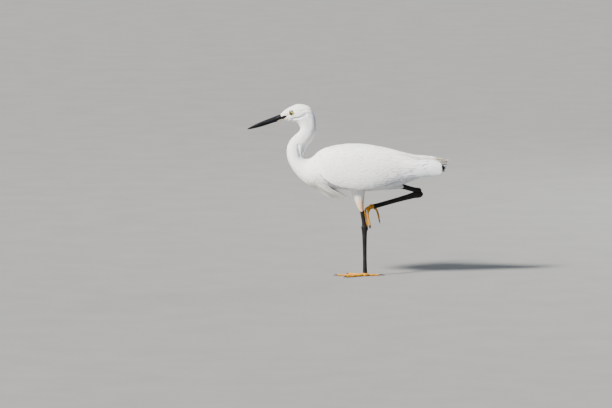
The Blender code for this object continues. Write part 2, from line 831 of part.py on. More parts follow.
TOE_TIP_RADIUS = 0.0017
TOE_SIDES = 8
CLAW_SIDES = 6
SOLE = math.cos(math.pi / TOE_SIDES)  # how far down a toe's lower flat lies, by its radius


THIGH_STEPS = 9


def thigh_path(side):
    return smooth_path([Vector(row[:3]) for row in THIGHS[side]], THIGH_STEPS)


def thigh_lead(side):
    """The direction that the thigh's lower end faces."""
    path = thigh_path(side)
    return (path[-1] - path[-2]).normalized()


def thigh(side, name, grow=0.0):
    steps = THIGH_STEPS
    table = THIGHS[side]
    centres = thigh_path(side)
    depths = [size + grow for size in smooth_sizes([row[3] for row in table], steps)]
    widths = [size + grow for size in smooth_sizes([row[4] for row in table], steps)]
    return loft(name, tube_rings(centres, depths, widths, 12), plumage())


def build_thigh(side):
    """The feathered drumstick, its top shaped to the belly that it hangs from."""
    body = trunk_cutter()
    apply_boolean(thigh(side, "thigh_" + side), "DIFFERENCE", [body])


def shin(side, name, grow=0.0):
    """The bare tube of the lower drumstick, from the end of its feathers to the ankle."""
    end, ankle = Vector(THIGHS[side][-1][:3]), ANKLES[side]
    lead = thigh_lead(side)
    first = end + lead * (GAP - grow)
    second = first + lead * 0.003
    centres = [first, second] + [second + (ankle - second) * k for k in (0.35, 0.65, 0.85, 1.0)]
    swell = (1.12, 1.08, 1.0, 1.03, 1.15, 1.3)
    depths = [SHIN_DEPTH * k + grow for k in swell]
    widths = [SHIN_WIDTH * k + grow for k in swell]
    return loft(name, tube_rings(centres, depths, widths, 10), leg_skin())


def build_shin(side):
    """The bare lower part of the drumstick, ending in the ankle's knob."""
    knob = ball("knob", ANKLES[side], ANKLE_RADII, leg_skin(), 12, 8)
    apply_boolean(shin(side, "shin_" + side), "UNION", [knob])


def grown(radii):
    return [radius + GAP for radius in radii]


def build_tarsus(side):
    """The long scaled shank, hollowed at its ends to the ankle's knob and the palm."""
    ankle, palm = ANKLES[side], PALMS[side]
    steps = 9
    centres = smooth_path([ankle + TARSUS_SHIFT[side], (ankle + palm) / 2, palm], steps)
    depths, widths = smooth_sizes(TARSUS_DEPTHS, steps), smooth_sizes(TARSUS_WIDTHS, steps)
    tarsus = loft("tarsus_" + side, tube_rings(centres, depths, widths, 10), leg_skin())
    cutters = [
        shin(side, "cutter", GAP),
        ball("cutter", ankle, grown(ANKLE_RADII), leg_skin(), 12, 8),
        ball("cutter", palm, grown(PALM_RADII), leg_skin(), 16, 8),
    ]
    apply_boolean(tarsus, "DIFFERENCE", cutters)


def toe_radii(steps):
    """A toe's radius along its length, swelling a little at each joint's pad."""
    return [
        (TOE_RADIUS + (TOE_TIP_RADIUS - TOE_RADIUS) * k / steps)
        * (1 + 0.08 * math.cos(6 * math.pi * k / steps))
        for k in range(steps + 1)
    ]


def build_toe(name, centres, across, claw, palm):
    """A toe and its claw, the toe's root hollowed to the palm that it grows from."""
    radii = toe_radii(len(centres) - 1)
    turn = math.pi / TOE_SIDES
    rings = tube_rings(centres, radii, radii, TOE_SIDES, across, turn)
    toe = loft("toe_" + name, rings, toe_skin())
    cutter = ball("cutter", palm, grown(PALM_RADII), toe_skin(), 16, 8)
    apply_boolean(toe, "DIFFERENCE", [cutter])
    steps = len(claw) - 1
    sizes = [radii[-1] * 0.92 * (1 - 0.85 * (k / steps) ** 1.3) for k in range(steps + 1)]
    rings = tube_rings(claw, sizes, sizes, CLAW_SIDES, across)[:-1]
    loft("claw_" + name, rings, claw_horn(), claw[-1])


def build_palm(side):
    """The knuckle between the shank and the toes, flat below where it meets the ground."""
    palm = ball("foot_" + side, PALMS[side], PALM_RADII, toe_skin(), 16, 8)
    for vert in palm.data.vertices:
        vert.co.z = max(vert.co.z, 0.0)


def build_standing_foot():
    """The left foot flat on the ground: palm and four toes on soles at Z = 0."""
    middle = Vector((PALMS["left"].x, PALMS["left"].y, 0))
    steps, claw_steps = 8, 4
    build_palm("left")
    for name, (degrees, length, claw_length) in TOES.items():
        turn = math.radians(degrees)
        ahead = Vector((-math.cos(turn), math.sin(turn), 0))
        across = ahead.cross(Vector((0, 0, 1)))
        radii = toe_radii(steps)
        start = 0.0040
        centres = [
            middle + ahead * (start + (length - start) * k / steps)
            + Vector((0, 0, radii[k] * SOLE))
            for k in range(steps + 1)
        ]
        drop = radii[-1] * SOLE * 0.75
        claw = [
            centres[-1]
            + ahead * (GAP + claw_length * k / claw_steps)
            - Vector((0, 0, drop * (k / claw_steps) ** 2))
            for k in range(claw_steps + 1)
        ]
        build_toe("left_" + name, centres, across, claw, PALMS["left"])


def build_lifted_foot():
    """The right foot, lifted in mid-step with its toes hanging half closed."""
    build_palm("right")
    steps, claw_steps = 8, 4
    for name, route in HANGING_TOES.items():
        path = [Vector(p) for p in route]
        joints = len(path) - 1
        toe_share = (joints - 1) / joints
        whole = smooth_path(path, 60)
        last = round(60 * toe_share)
        centres = [whole[round(last * k / steps)] for k in range(steps + 1)]
        start = centres[-1] + (whole[last + 1] - whole[last]).normalized() * GAP
        claw = [start] + [
            whole[last + round((60 - last) * k / claw_steps)] for k in range(1, claw_steps + 1)
        ]
        build_toe("right_" + name, centres, Vector((0, 1, 0)), claw, PALMS["right"])


def centre_over_origin():
    """Slides the whole bird so that the origin lies under the middle of its box."""
    parts = list(bpy.context.scene.objects)
    corners = [vert.co for part in parts for vert in part.data.vertices]
    middle = [
        (min(c[axis] for c in corners) + max(c[axis] for c in corners)) / 2 for axis in (0, 1)
    ]
    for part in parts:
        for vert in part.data.vertices:
            vert.co -= Vector((middle[0], middle[1], 0))


def main():
    clear_scene()
    build_head()
    trunk_length("neck_upper", HEAD_END + 0.5, NECK_BEND, 10, 16, plumage())
    trunk_length("neck_lower", NECK_BEND, NECK_END, 9, 16, plumage())
    build_torso()
    build_eyes()
    build_bill()
    build_tail()
    for side in SIDE_OF:
        build_wing(side)
        build_thigh(side)
        build_shin(side)
        build_tarsus(side)
    build_standing_foot()
    build_lifted_foot()
    centre_over_origin()


main()
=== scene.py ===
"""The little egret, dressed: skin, plumage, bill, eyes, legs and feet over its solid frame.

Metres, +Z up. The bird faces -X and its left side faces -Y, towards the camera.
"""

import json
import math

import bmesh
import bpy
import numpy as np
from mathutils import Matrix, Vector

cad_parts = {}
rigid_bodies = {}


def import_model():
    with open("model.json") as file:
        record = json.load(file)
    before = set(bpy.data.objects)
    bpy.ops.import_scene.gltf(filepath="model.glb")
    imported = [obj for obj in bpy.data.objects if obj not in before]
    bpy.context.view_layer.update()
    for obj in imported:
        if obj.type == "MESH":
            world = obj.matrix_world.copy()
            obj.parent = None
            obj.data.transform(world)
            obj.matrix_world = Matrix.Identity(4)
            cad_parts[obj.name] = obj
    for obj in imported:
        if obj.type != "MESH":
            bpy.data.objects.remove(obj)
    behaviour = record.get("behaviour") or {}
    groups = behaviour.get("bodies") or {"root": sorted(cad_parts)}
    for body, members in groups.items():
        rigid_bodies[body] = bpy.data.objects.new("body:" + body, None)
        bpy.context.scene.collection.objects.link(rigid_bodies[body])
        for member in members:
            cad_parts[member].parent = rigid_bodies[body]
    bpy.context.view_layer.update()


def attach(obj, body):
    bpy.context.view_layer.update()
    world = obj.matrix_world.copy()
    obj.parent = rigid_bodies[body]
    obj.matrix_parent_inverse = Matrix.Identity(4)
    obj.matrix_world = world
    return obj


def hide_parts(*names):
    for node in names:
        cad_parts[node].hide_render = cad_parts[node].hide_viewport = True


for leftover in list(bpy.data.objects):
    bpy.data.objects.remove(leftover)
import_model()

SIDES = {"left": -1.0, "right": 1.0}

# The bird's own shape, as its solid frame has it. Sections of the trunk from face to rump:
# lower or front edge (x, z), upper or rear edge (x, z), half width.
TRUNK = [
    (-0.1414, 0.3352, -0.1462, 0.3482, 0.0055),
    (-0.1370, 0.3359, -0.1418, 0.3500, 0.0062),
    (-0.1300, 0.3345, -0.1332, 0.3574, 0.0096),
    (-0.1235, 0.3335, -0.1212, 0.3648, 0.0124),
    (-0.1165, 0.3325, -0.1075, 0.3700, 0.0144),
    (-0.1105, 0.3310, -0.0930, 0.3695, 0.0154),
    (-0.1060, 0.3290, -0.0805, 0.3640, 0.0154),
    (-0.1030, 0.3260, -0.0720, 0.3520, 0.0146),
    (-0.1005, 0.3215, -0.0670, 0.3390, 0.0140),
    (-0.1000, 0.3175, -0.0660, 0.3260, 0.0136),
    (-0.1010, 0.3135, -0.0665, 0.3150, 0.0134),
    (-0.1055, 0.3080, -0.0690, 0.3060, 0.0136),
    (-0.1125, 0.3025, -0.0745, 0.2945, 0.0142),
    (-0.1205, 0.2945, -0.0810, 0.2855, 0.0150),
    (-0.1260, 0.2845, -0.0865, 0.2780, 0.0155),
    (-0.1285, 0.2735, -0.0900, 0.2705, 0.0160),
    (-0.1285, 0.2610, -0.0935, 0.2630, 0.0166),
    (-0.1255, 0.2480, -0.0945, 0.2575, 0.0176),
    (-0.1190, 0.2350, -0.0915, 0.2535, 0.0192),
    (-0.1095, 0.2210, -0.0860, 0.2520, 0.0215),
    (-0.0975, 0.2090, -0.0800, 0.2535, 0.0250),
    (-0.0830, 0.1985, -0.0725, 0.2565, 0.0300),
    (-0.0655, 0.1920, -0.0620, 0.2670, 0.0350),
    (-0.0475, 0.1890, -0.0435, 0.2765, 0.0390),
    (-0.0235, 0.1890, -0.0215, 0.2800, 0.0415),
    (0.0065, 0.1865, 0.0065, 0.2805, 0.0425),
    (0.0365, 0.1840, 0.0365, 0.2795, 0.0415),
    (0.0690, 0.1860, 0.0665, 0.2750, 0.0385),
    (0.0990, 0.1915, 0.0970, 0.2685, 0.0330),
    (0.1225, 0.1990, 0.1235, 0.2605, 0.0260),
    (0.1375, 0.2050, 0.1375, 0.2545, 0.0195),
    (0.1485, 0.2095, 0.1485, 0.2495, 0.0140),
    (0.1600, 0.2140, 0.1600, 0.2450, 0.0122),
    (0.1720, 0.2190, 0.1720, 0.2400, 0.0100),
    (0.1830, 0.2245, 0.1830, 0.2355, 0.0070),
]
FIRST_PLACE = -1.0  # the forehead's feathers reach this far forward on the bill
LAST_PLACE = 33.0
ROWS_PER_PLACE = 12
TRUNK_COLUMNS = 176
TRUNK_OVAL = 2.15

# The folded wing's face by X: upper edge, lower edge, crown, keel, half width.
WING = [
    (-0.0640, 0.2530, 0.2360, 0.268, 0.190, 0.0375),
    (-0.0540, 0.2645, 0.2215, 0.270, 0.186, 0.0420),
    (-0.0365, 0.2760, 0.2065, 0.2768, 0.180, 0.0460),
    (-0.0150, 0.2808, 0.1965, 0.2813, 0.176, 0.0480),
    (0.0110, 0.2826, 0.1905, 0.2831, 0.172, 0.0490),
    (0.0385, 0.2816, 0.1890, 0.2821, 0.171, 0.0485),
    (0.0665, 0.2772, 0.1935, 0.2777, 0.175, 0.0460),
    (0.0945, 0.2712, 0.2035, 0.2717, 0.185, 0.0410),
    (0.1225, 0.2632, 0.2110, 0.2637, 0.195, 0.0345),
    (0.1505, 0.2564, 0.2145, 0.2570, 0.203, 0.0285),
    (0.1740, 0.2540, 0.2165, 0.2547, 0.207, 0.0235),
    (0.1915, 0.2515, 0.2180, 0.2524, 0.209, 0.0200),
    (0.2065, 0.2440, 0.2200, 0.2460, 0.211, 0.0165),
]
WING_OVAL = 2.3

# The sheets of the wings and the mantle run back along X in even rows, and the mantle's
# spreads by an angle on either side of the crown.
SHEET_ROWS = 300
SHEET_FRONT, SHEET_BACK = -0.070, 0.2145
SHEET_LENGTH = SHEET_BACK - SHEET_FRONT
SHEET_STEP = SHEET_LENGTH / (SHEET_ROWS - 1)
MANTLE_TURN = 1.25

ROOT_DEPTH = 0.0014  # how far below a sheet the larger feathers are rooted
EYE_OPENING = 0.0052  # how far round the eye's middle skin and coat stay open

EYE_RADIUS = 0.0046
EYE = {side: Vector((-0.1190, 0.0100 * sign, 0.3526)) for side, sign in SIDES.items()}
BILL_BASE = Vector((-0.1396, 0.0, 0.3426))
BILL_TIP = Vector((-0.2145, 0.0, 0.3165))
BILL_ALONG = (BILL_TIP - BILL_BASE).normalized()
BILL_UP = Vector((BILL_ALONG.z, 0.0, -BILL_ALONG.x))


def curve_between(before, start, end, after, t):
    """The smooth curve from start to end at a share t, with the values before and after them."""
    return 0.5 * (
        2 * start
        + (end - before) * t
        + (2 * before - 5 * start + 4 * end - after) * t * t
        + (3 * start - before - 3 * end + after) * t**3
    )


def smooth_read(values, place):
    """A smooth curve through rows of values, read at places counted in rows."""
    values = np.asarray(values, float)
    last = len(values) - 1
    place = np.clip(np.asarray(place, float), 0, last)
    i = np.minimum(place.astype(int), last - 1)
    rows = [values[np.clip(i + k, 0, last)] for k in (-1, 0, 1, 2)]
    return curve_between(*rows, (place - i)[..., None])


def read_route(points, t):
    """A smooth curve through stacked point arrays, read at one share of its length."""
    last = len(points) - 1
    i = min(int(t * last), last - 1)
    rows = [points[min(max(i + k, 0), last)] for k in (-1, 0, 1, 2)]
    return curve_between(*rows, t * last - i)


def table_read(table, x):
    """The columns of a table after its first, which rises, read smoothly at x."""
    table = np.asarray(table, float)
    keys, rows = table[:, 0], table[:, 1:]
    slopes = np.gradient(rows, keys, axis=0, edge_order=1)
    x = np.asarray(x, float)
    i = np.clip(np.searchsorted(keys, x, side="right") - 1, 0, len(keys) - 2)
    step = (keys[i + 1] - keys[i])[..., None]
    t = np.clip((x - keys[i])[..., None] / step, 0, 1)
    rest = 1 - t
    return (
        rows[i] * (1 + 2 * t) * rest**2
        + slopes[i] * step * t * rest**2
        + rows[i + 1] * t**2 * (3 - 2 * t)
        - slopes[i + 1] * step * t**2 * rest
    )


def oval(angle, power):
    c, s = np.cos(angle), np.sin(angle)
    return np.sign(c) * np.abs(c) ** (2 / power), np.sign(s) * np.abs(s) ** (2 / power)


def trunk_points(place, angle):
    """Points of the trunk's outer form. The angle runs from the back down its +Y side."""
    row = smooth_read(TRUNK, place - FIRST_PLACE)
    low, high = row[..., [0, 1]], row[..., [2, 3]]
    along, across = oval(angle, TRUNK_OVAL)
    flat = (low + high) / 2 + (high - low) / 2 * along[..., None]
    return np.stack([flat[..., 0], row[..., 4] * across, flat[..., 1]], axis=-1)


def crown_and_keel(row):
    """The middle and the half height of the wings' oval, from rows of their table."""
    return (row[..., 2] + row[..., 3]) / 2, (row[..., 2] - row[..., 3]) / 2


def wing_angle(x, z):
    """The angle on the wing's oval at a height, counted from the crown."""
    middle, half = crown_and_keel(table_read(WING, x))
    share = np.clip((z - middle) / half, -1, 1)
    return np.arccos(np.sign(share) * np.abs(share) ** (WING_OVAL / 2))


def wing_oval_points(x, angle):
    """Points of the oval that both wings and the mantle lie on, from its crown at 0."""
    row = table_read(WING, x)
    middle, half = crown_and_keel(row)
    along, across = oval(angle, WING_OVAL)
    return np.stack([x, row[..., 4] * across, middle + half * along], axis=-1)


def unit(vectors):
    return vectors / (np.linalg.norm(vectors, axis=-1, keepdims=True) + 1e-12)


class Sheet:
    """A curved surface held as a fine grid, read anywhere by (u, v) in grid steps. Its normals
    point away from a middle, which is each row's own unless another is given."""

    def __init__(self, points, wraps, middle=None):
        self.points = points
        self.wraps = wraps
        self.size = points.shape[:2]
        du = np.gradient(points, axis=0)
        if wraps:
            dv = (np.roll(points, -1, axis=1) - np.roll(points, 1, axis=1)) / 2
        else:
            dv = np.gradient(points, axis=1)
        self.normal = unit(np.cross(du, dv))
        middle = points.mean(axis=1, keepdims=True) if middle is None else middle
        if np.sum((points - middle) * self.normal) < 0:
            self.normal = -self.normal
        self.stretch_u = np.linalg.norm(du, axis=-1) + 1e-7
        self.stretch_v = np.linalg.norm(dv, axis=-1) + 1e-7

    def read(self, field, u, v):
        rows, columns = self.size
        u = np.clip(u, 0, rows - 1.001)
        i = u.astype(int)
        if self.wraps:
            v = np.mod(v, columns)
            j = np.minimum(v.astype(int), columns - 1)
            k = (j + 1) % columns
        else:
            v = np.clip(v, 0, columns - 1.001)
            j = v.astype(int)
            k = j + 1
        a, b = u - i, v - j
        if field.ndim == 3:
            a, b = a[..., None], b[..., None]
        near = field[i, j] * (1 - b) + field[i, k] * b
        far = field[i + 1, j] * (1 - b) + field[i + 1, k] * b
        return near * (1 - a) + far * a

    def at(self, u, v, lift):
        return self.read(self.points, u, v) + self.read(self.normal, u, v) * lift[..., None]

    def uv_place(self, u, v):
        return np.stack([u / (self.size[0] - 1), (v / self.size[1]) % 1.0], axis=-1)


# Creases in the coat, seen from the side (x, z), each with its width and depth: below the
# cheek, two at the nape and two in the crook of the neck.
CREASES = [
    ([(-0.1160, 0.3400), (-0.1050, 0.3418), (-0.0975, 0.3440), (-0.0885, 0.3482)], 0.0018, 0.0021),
    ([(-0.0990, 0.3560), (-0.0880, 0.3600), (-0.0790, 0.3575)], 0.0016, 0.0012),
    ([(-0.0930, 0.3500), (-0.0830, 0.3525), (-0.0740, 0.3490)], 0.0016, 0.0012),
    ([(-0.1050, 0.2835), (-0.1035, 0.2720), (-0.1008, 0.2590)], 0.0024, 0.0022),
    ([(-0.0980, 0.2755), (-0.0955, 0.2695)], 0.0014, 0.0012),
]


def distance_to_path(x, z, path):
    """How far points lie from a bent line, in the bird's plane of symmetry."""
    best = np.full(np.shape(x), 1e9)
    for (ax, az), (bx, bz) in zip(path, path[1:]):
        dx, dz = bx - ax, bz - az
        t = np.clip(((x - ax) * dx + (z - az) * dz) / (dx * dx + dz * dz), 0, 1)
        best = np.minimum(best, np.hypot(x - ax - t * dx, z - az - t * dz))
    return best


def creased(points, angle):
    """Trunk points pressed in along the soft creases that the coat falls into."""
    normal = Sheet(points, True).normal
    flank = np.clip(np.abs(np.sin(angle)) * 1.6 - 0.4, 0, 1)
    for crease, width, depth in CREASES:
        away = distance_to_path(points[..., 0], points[..., 2], crease)
        press = depth * np.exp(-((away / width) ** 2)) * flank
        points = points - normal * press[..., None]
    return points


def over_the_wings(points):
    """Trunk points moved out to the folded wings, where these lie over them."""
    x, y, z = points[..., 0], points[..., 1], points[..., 2]
    row = table_read(WING, x)
    middle, half = crown_and_keel(row)
    share = np.clip(np.abs(z - middle) / half, 0, 1)
    out = row[..., 4] * np.clip(1 - share**WING_OVAL, 0, 1) ** (1 / WING_OVAL)
    within = np.minimum(x - WING[0][0], row[..., 0] - z)
    under = np.clip((z - row[..., 1]) / 0.003 + np.clip((-0.052 - x) / 0.008, 0, 1), 0, 1)
    rise = np.clip((within + 0.004) / 0.010, 0, 1) * under
    rise = rise * rise * (3 - 2 * rise)
    moved = points.copy()
    moved[..., 1] += np.sign(y) * np.maximum(out - np.abs(y), 0) * rise
    return moved


def trunk_grid(places, columns):
    turn = np.linspace(0, 2 * np.pi, columns, endpoint=False)
    place, angle = np.meshgrid(places, turn, indexing="ij")
    return creased(trunk_points(place, angle), angle)


def trunk_sheet(over_wings=True):
    """The trunk's outer form, spreading out over the front of the wings unless told not to."""
    rows = round((LAST_PLACE - FIRST_PLACE) * ROWS_PER_PLACE) + 1
    points = trunk_grid(np.linspace(FIRST_PLACE, LAST_PLACE, rows), TRUNK_COLUMNS)
    return Sheet(over_the_wings(points) if over_wings else points, True)


def row_of(place):
    """The trunk sheet's row at a place counted in sections."""
    return (place - FIRST_PLACE) * ROWS_PER_PLACE


def place_of(u):
    return u / ROWS_PER_PLACE + FIRST_PLACE


def sheet_x(u):
    """The X of a row of a wing's or the mantle's sheet."""
    return SHEET_FRONT + u * SHEET_LENGTH / (SHEET_ROWS - 1)


def sheet_grid(across):
    along = np.linspace(SHEET_FRONT, SHEET_BACK, SHEET_ROWS)
    return np.meshgrid(along, across, indexing="ij")


def wing_sheet(side):
    """One wing's face, u running back along it and v from its upper to its lower edge."""
    x, share = sheet_grid(np.linspace(0, 1, 90))
    row = table_read(WING, x)
    lift = np.interp(x, [-0.03, 0.0, 0.07, 0.11], [0.0, 0.0030, 0.0030, 0.0])
    top, bottom = wing_angle(x, row[..., 0]), wing_angle(x, row[..., 1] + lift)
    points = wing_oval_points(x, top + (bottom - top) * share)
    points[..., 1] *= SIDES[side]
    return Sheet(points, False, points.mean(axis=1, keepdims=True) * (1.0, 0.0, 1.0))


def mantle_sheet():
    """The upper body across both wings, v running from the left side to the right."""
    x, angle = sheet_grid(np.linspace(-MANTLE_TURN, MANTLE_TURN, 120))
    points = wing_oval_points(x, np.abs(angle))
    points[..., 1] *= np.sign(angle)
    return Sheet(points, False, points.mean(axis=1, keepdims=True) - (0, 0, 0.05))


# How a feather is drawn: (share of its length, share of its half width) from root to tip.
DOWN_TUFT = [(0.30, 0.85), (0.70, 0.75)]
BODY_FEATHER = [(0.22, 0.70), (0.55, 1.0), (0.84, 0.78)]
VANE = [(0.12, 0.55), (0.34, 0.92), (0.58, 1.0), (0.80, 0.90), (0.94, 0.55)]
WING_VANE = [
    (0.03, 0.36), (0.08, 0.60), (0.16, 0.80), (0.27, 0.92), (0.40, 0.99), (0.53, 1.0),
    (0.65, 0.98), (0.75, 0.93), (0.84, 0.83), (0.905, 0.69), (0.950, 0.52), (0.982, 0.31),
]
QUILL_VANE = WING_VANE[:8] + [(0.84, 0.92), (0.91, 0.86), (0.955, 0.72), (0.985, 0.44)]
HANGING_LOCK = [
    (0.06, 0.6), (0.18, 0.85), (0.32, 1.0), (0.48, 0.95), (0.62, 0.78), (0.76, 0.55), (0.88, 0.34),
]
# Where the feathers' roots lie on the UV map, inside its edges, and how much of it each takes.
UV_EDGE, UV_SPAN, UV_FEATHER = 0.01, 0.97, (0.0014, 0.0028)
UP_THE_SHAFT = 0.02  # how far to either side along a feather its direction is read


def join_feathers(name, rings, root, tip, uv_place, tones, outline, finish):
    """One mesh of many closed blades: rings is a list of (left, top, right) point arrays."""
    count, steps = len(root), len(rings)
    per = 2 + 3 * steps
    points = np.stack([root, *(corner for ring in rings for corner in ring), tip], axis=1)
    faces = [(0, 1 + (j + 1) % 3, 1 + j) for j in range(3)]
    for k in range(steps - 1):
        for j in range(3):
            a, b = 1 + 3 * k + j, 1 + 3 * k + (j + 1) % 3
            faces += [(a, b, b + 3), (a, b + 3, a + 3)]
    last = 1 + 3 * (steps - 1)
    faces = np.array(faces + [(last + j, last + (j + 1) % 3, per - 1) for j in range(3)])
    probe = points[:40]
    edges = [probe[:, faces[:, k]] - probe[:, :1] for k in range(3)]
    if np.einsum("nfi,nfi->", edges[0], np.cross(edges[1], edges[2])) < 0:
        faces = faces[:, ::-1]
    corner = (faces[None] + per * np.arange(count)[:, None, None]).reshape(-1)
    mesh = bpy.data.meshes.new(name)
    mesh.vertices.add(count * per)
    mesh.vertices.foreach_set("co", points.reshape(-1))
    mesh.loops.add(len(corner))
    mesh.loops.foreach_set("vertex_index", corner)
    mesh.polygons.add(len(corner) // 3)
    mesh.polygons.foreach_set("loop_start", np.arange(0, len(corner), 3))
    mesh.update(calc_edges=True)
    local = [(across * share, t) for t, share in outline for across in (-1.0, 0.0, 1.0)]
    local = np.array([(0.0, 0.0), *local, (0.0, 1.0)])
    patch = (UV_EDGE + UV_SPAN * uv_place)[:, None, :] + (local * UV_FEATHER)[None]
    for layer, values in (("OFBake", patch), ("Vane", np.broadcast_to(local, (count, per, 2)))):
        chosen = np.ascontiguousarray(values).reshape(-1, 2)[corner]
        mesh.uv_layers.new(name=layer).data.foreach_set("uv", chosen.reshape(-1))
    mesh.uv_layers.active = mesh.uv_layers["OFBake"]
    tone = mesh.attributes.new("tone", "FLOAT", "POINT")
    tone.data.foreach_set("value", np.repeat(tones, per))
    mesh.set_sharp_from_angle(angle=math.radians(75))
    return placed(mesh, finish)


def lay_feathers(name, sheet, laid, outline, thickness, finish, seed):
    """Feathers walked out over a sheet from their roots, following its curves.

    laid holds arrays: u, v, turn, bend, length, half, sunk, proud, tilt.
    """
    draw = np.random.RandomState(seed)
    u, v = laid["u"].copy(), laid["v"].copy()
    uv_place = sheet.uv_place(u, v)
    root = sheet.at(u, v, -laid["sunk"])
    rings = []
    done = 0.0
    for t, share in [*outline, (1.0, 0.0)]:
        turn = laid["turn"] + laid["bend"] * t
        step = laid["length"] * (t - done)
        u = u + step * np.cos(turn) / sheet.read(sheet.stretch_u, u, v)
        v = v + step * np.sin(turn) / sheet.read(sheet.stretch_v, u, v)
        done = t
        su, sv = sheet.read(sheet.stretch_u, u, v), sheet.read(sheet.stretch_v, u, v)
        lift = -laid["sunk"] + (laid["proud"] + laid["sunk"]) * math.sin(t * math.pi / 2)
        if share == 0.0:
            tip = sheet.at(u, v, lift)
            continue
        ring = []
        for across, rise in ((-1.0, 0.0), (0.0, 1.0), (1.0, 0.0)):
            a = across * laid["half"] * share
            height = lift + rise * thickness + across * laid["tilt"]
            ring.append(sheet.at(u - a * np.sin(turn) / su, v + a * np.cos(turn) / sv, height))
        rings.append(ring)
    tones = draw.uniform(0, 1, len(u))
    return join_feathers(name, rings, root, tip, uv_place, tones, outline, finish)


def hang_feathers(name, route, wide, half, outline, thickness, uv_place, finish, seed):
    """Feathers that hang free along bent routes: route is a list of point arrays."""
    draw = np.random.RandomState(seed)
    points = np.stack(route, axis=0)
    rings = []
    for t, share in outline:
        centre = read_route(points, t)
        before, after = max(t - UP_THE_SHAFT, 0.0), min(t + UP_THE_SHAFT, 1.0)
        ahead = unit(read_route(points, after) - read_route(points, before))
        across = unit(wide - ahead * np.sum(wide * ahead, axis=1, keepdims=True))
        top = np.cross(ahead, across)
        top = np.where((top[:, 2] < 0)[:, None], -top, top)
        reach = (half * share)[:, None]
        rings.append([centre - across * reach, centre + top * thickness, centre + across * reach])
    root, tip = read_route(points, 0.0), read_route(points, 1.0)
    tones = draw.uniform(0, 1, len(half))
    join_feathers(name, rings, root, tip, uv_place, tones, outline, finish)


def free_coverts(name, sheet, laid, finish, seed):
    """Feathers that leave a sheet's end straight on, instead of piling up at its edge."""
    u, v, sunk = laid["u"], laid["v"], laid["sunk"]
    root = sheet.at(u, v, -sunk)
    lift = sheet.read(sheet.normal, u, v)
    ahead = sheet.at(u + 2.0, v, -sunk) - sheet.at(u - 2.0, v, -sunk)
    ahead /= np.linalg.norm(ahead, axis=1, keepdims=True)
    length = laid["length"][:, None]
    rise = (sunk + laid["proud"])[:, None]
    middle = root + ahead * length * 0.5 + lift * rise * 0.9
    tip = root + ahead * length + lift * rise * 0.7
    route, across, place = [root, middle, tip], np.cross(ahead, lift), sheet.uv_place(u, v)
    hang_feathers(name, route, across, laid["half"], VANE, 0.0004, place, finish, seed)


def scatter(sheet, start, end, spacing, seed, keep=None):
    """Roots spread evenly by area over rows start to end of a sheet, as u and v arrays."""
    draw = np.random.RandomState(seed)
    us, vs = [], []
    u = start
    while u < end:
        row = int(min(u, sheet.size[0] - 1))
        band = spacing / sheet.stretch_u[row].mean()
        weight = sheet.stretch_v[row] * sheet.stretch_u[row] * band / spacing**2
        total = np.concatenate([[0.0], np.cumsum(weight)])
        marks = np.arange(draw.uniform(0, 1), total[-1], 1.0)
        marks = marks + draw.uniform(-0.28, 0.28, len(marks))
        v = np.interp(marks, total, np.arange(len(total)) * 1.0)
        us.append(u + band * draw.uniform(0.0, 0.9, len(v)))
        vs.append(np.clip(v, 0, sheet.size[1] - 0.01))
        u += band
    us, vs = np.concatenate(us), np.concatenate(vs)
    inside = us < end
    us, vs = us[inside], vs[inside]
    if keep is not None:
        chosen = keep(sheet.read(sheet.points, us, vs), us, vs)
        us, vs = us[chosen], vs[chosen]
    return us, vs


def feathers_at(draw, u, v, length, half, sunk, turn, bend, proud, tilt, lean=0.0, most=None):
    """What the feathers of a coat are like. length and half are a size and the range that it
    varies by, turn, bend and tilt are spreads, proud is a range, and most cuts the length."""
    count = len(u)
    laid = dict(u=u, v=v, sunk=sunk + np.zeros(count))
    laid["turn"] = lean + draw.normal(0, turn, count)
    laid["bend"] = draw.normal(0, bend, count)
    laid["length"] = length[0] * draw.uniform(*length[1], count)
    if most is not None:
        laid["length"] = np.minimum(laid["length"], most - draw.uniform(0, 0.006, count))
    laid["half"] = half[0] * draw.uniform(*half[1], count)
    laid["proud"] = draw.uniform(*proud, count)
    laid["tilt"] = draw.normal(0, tilt, count)
    return laid


# Finishes


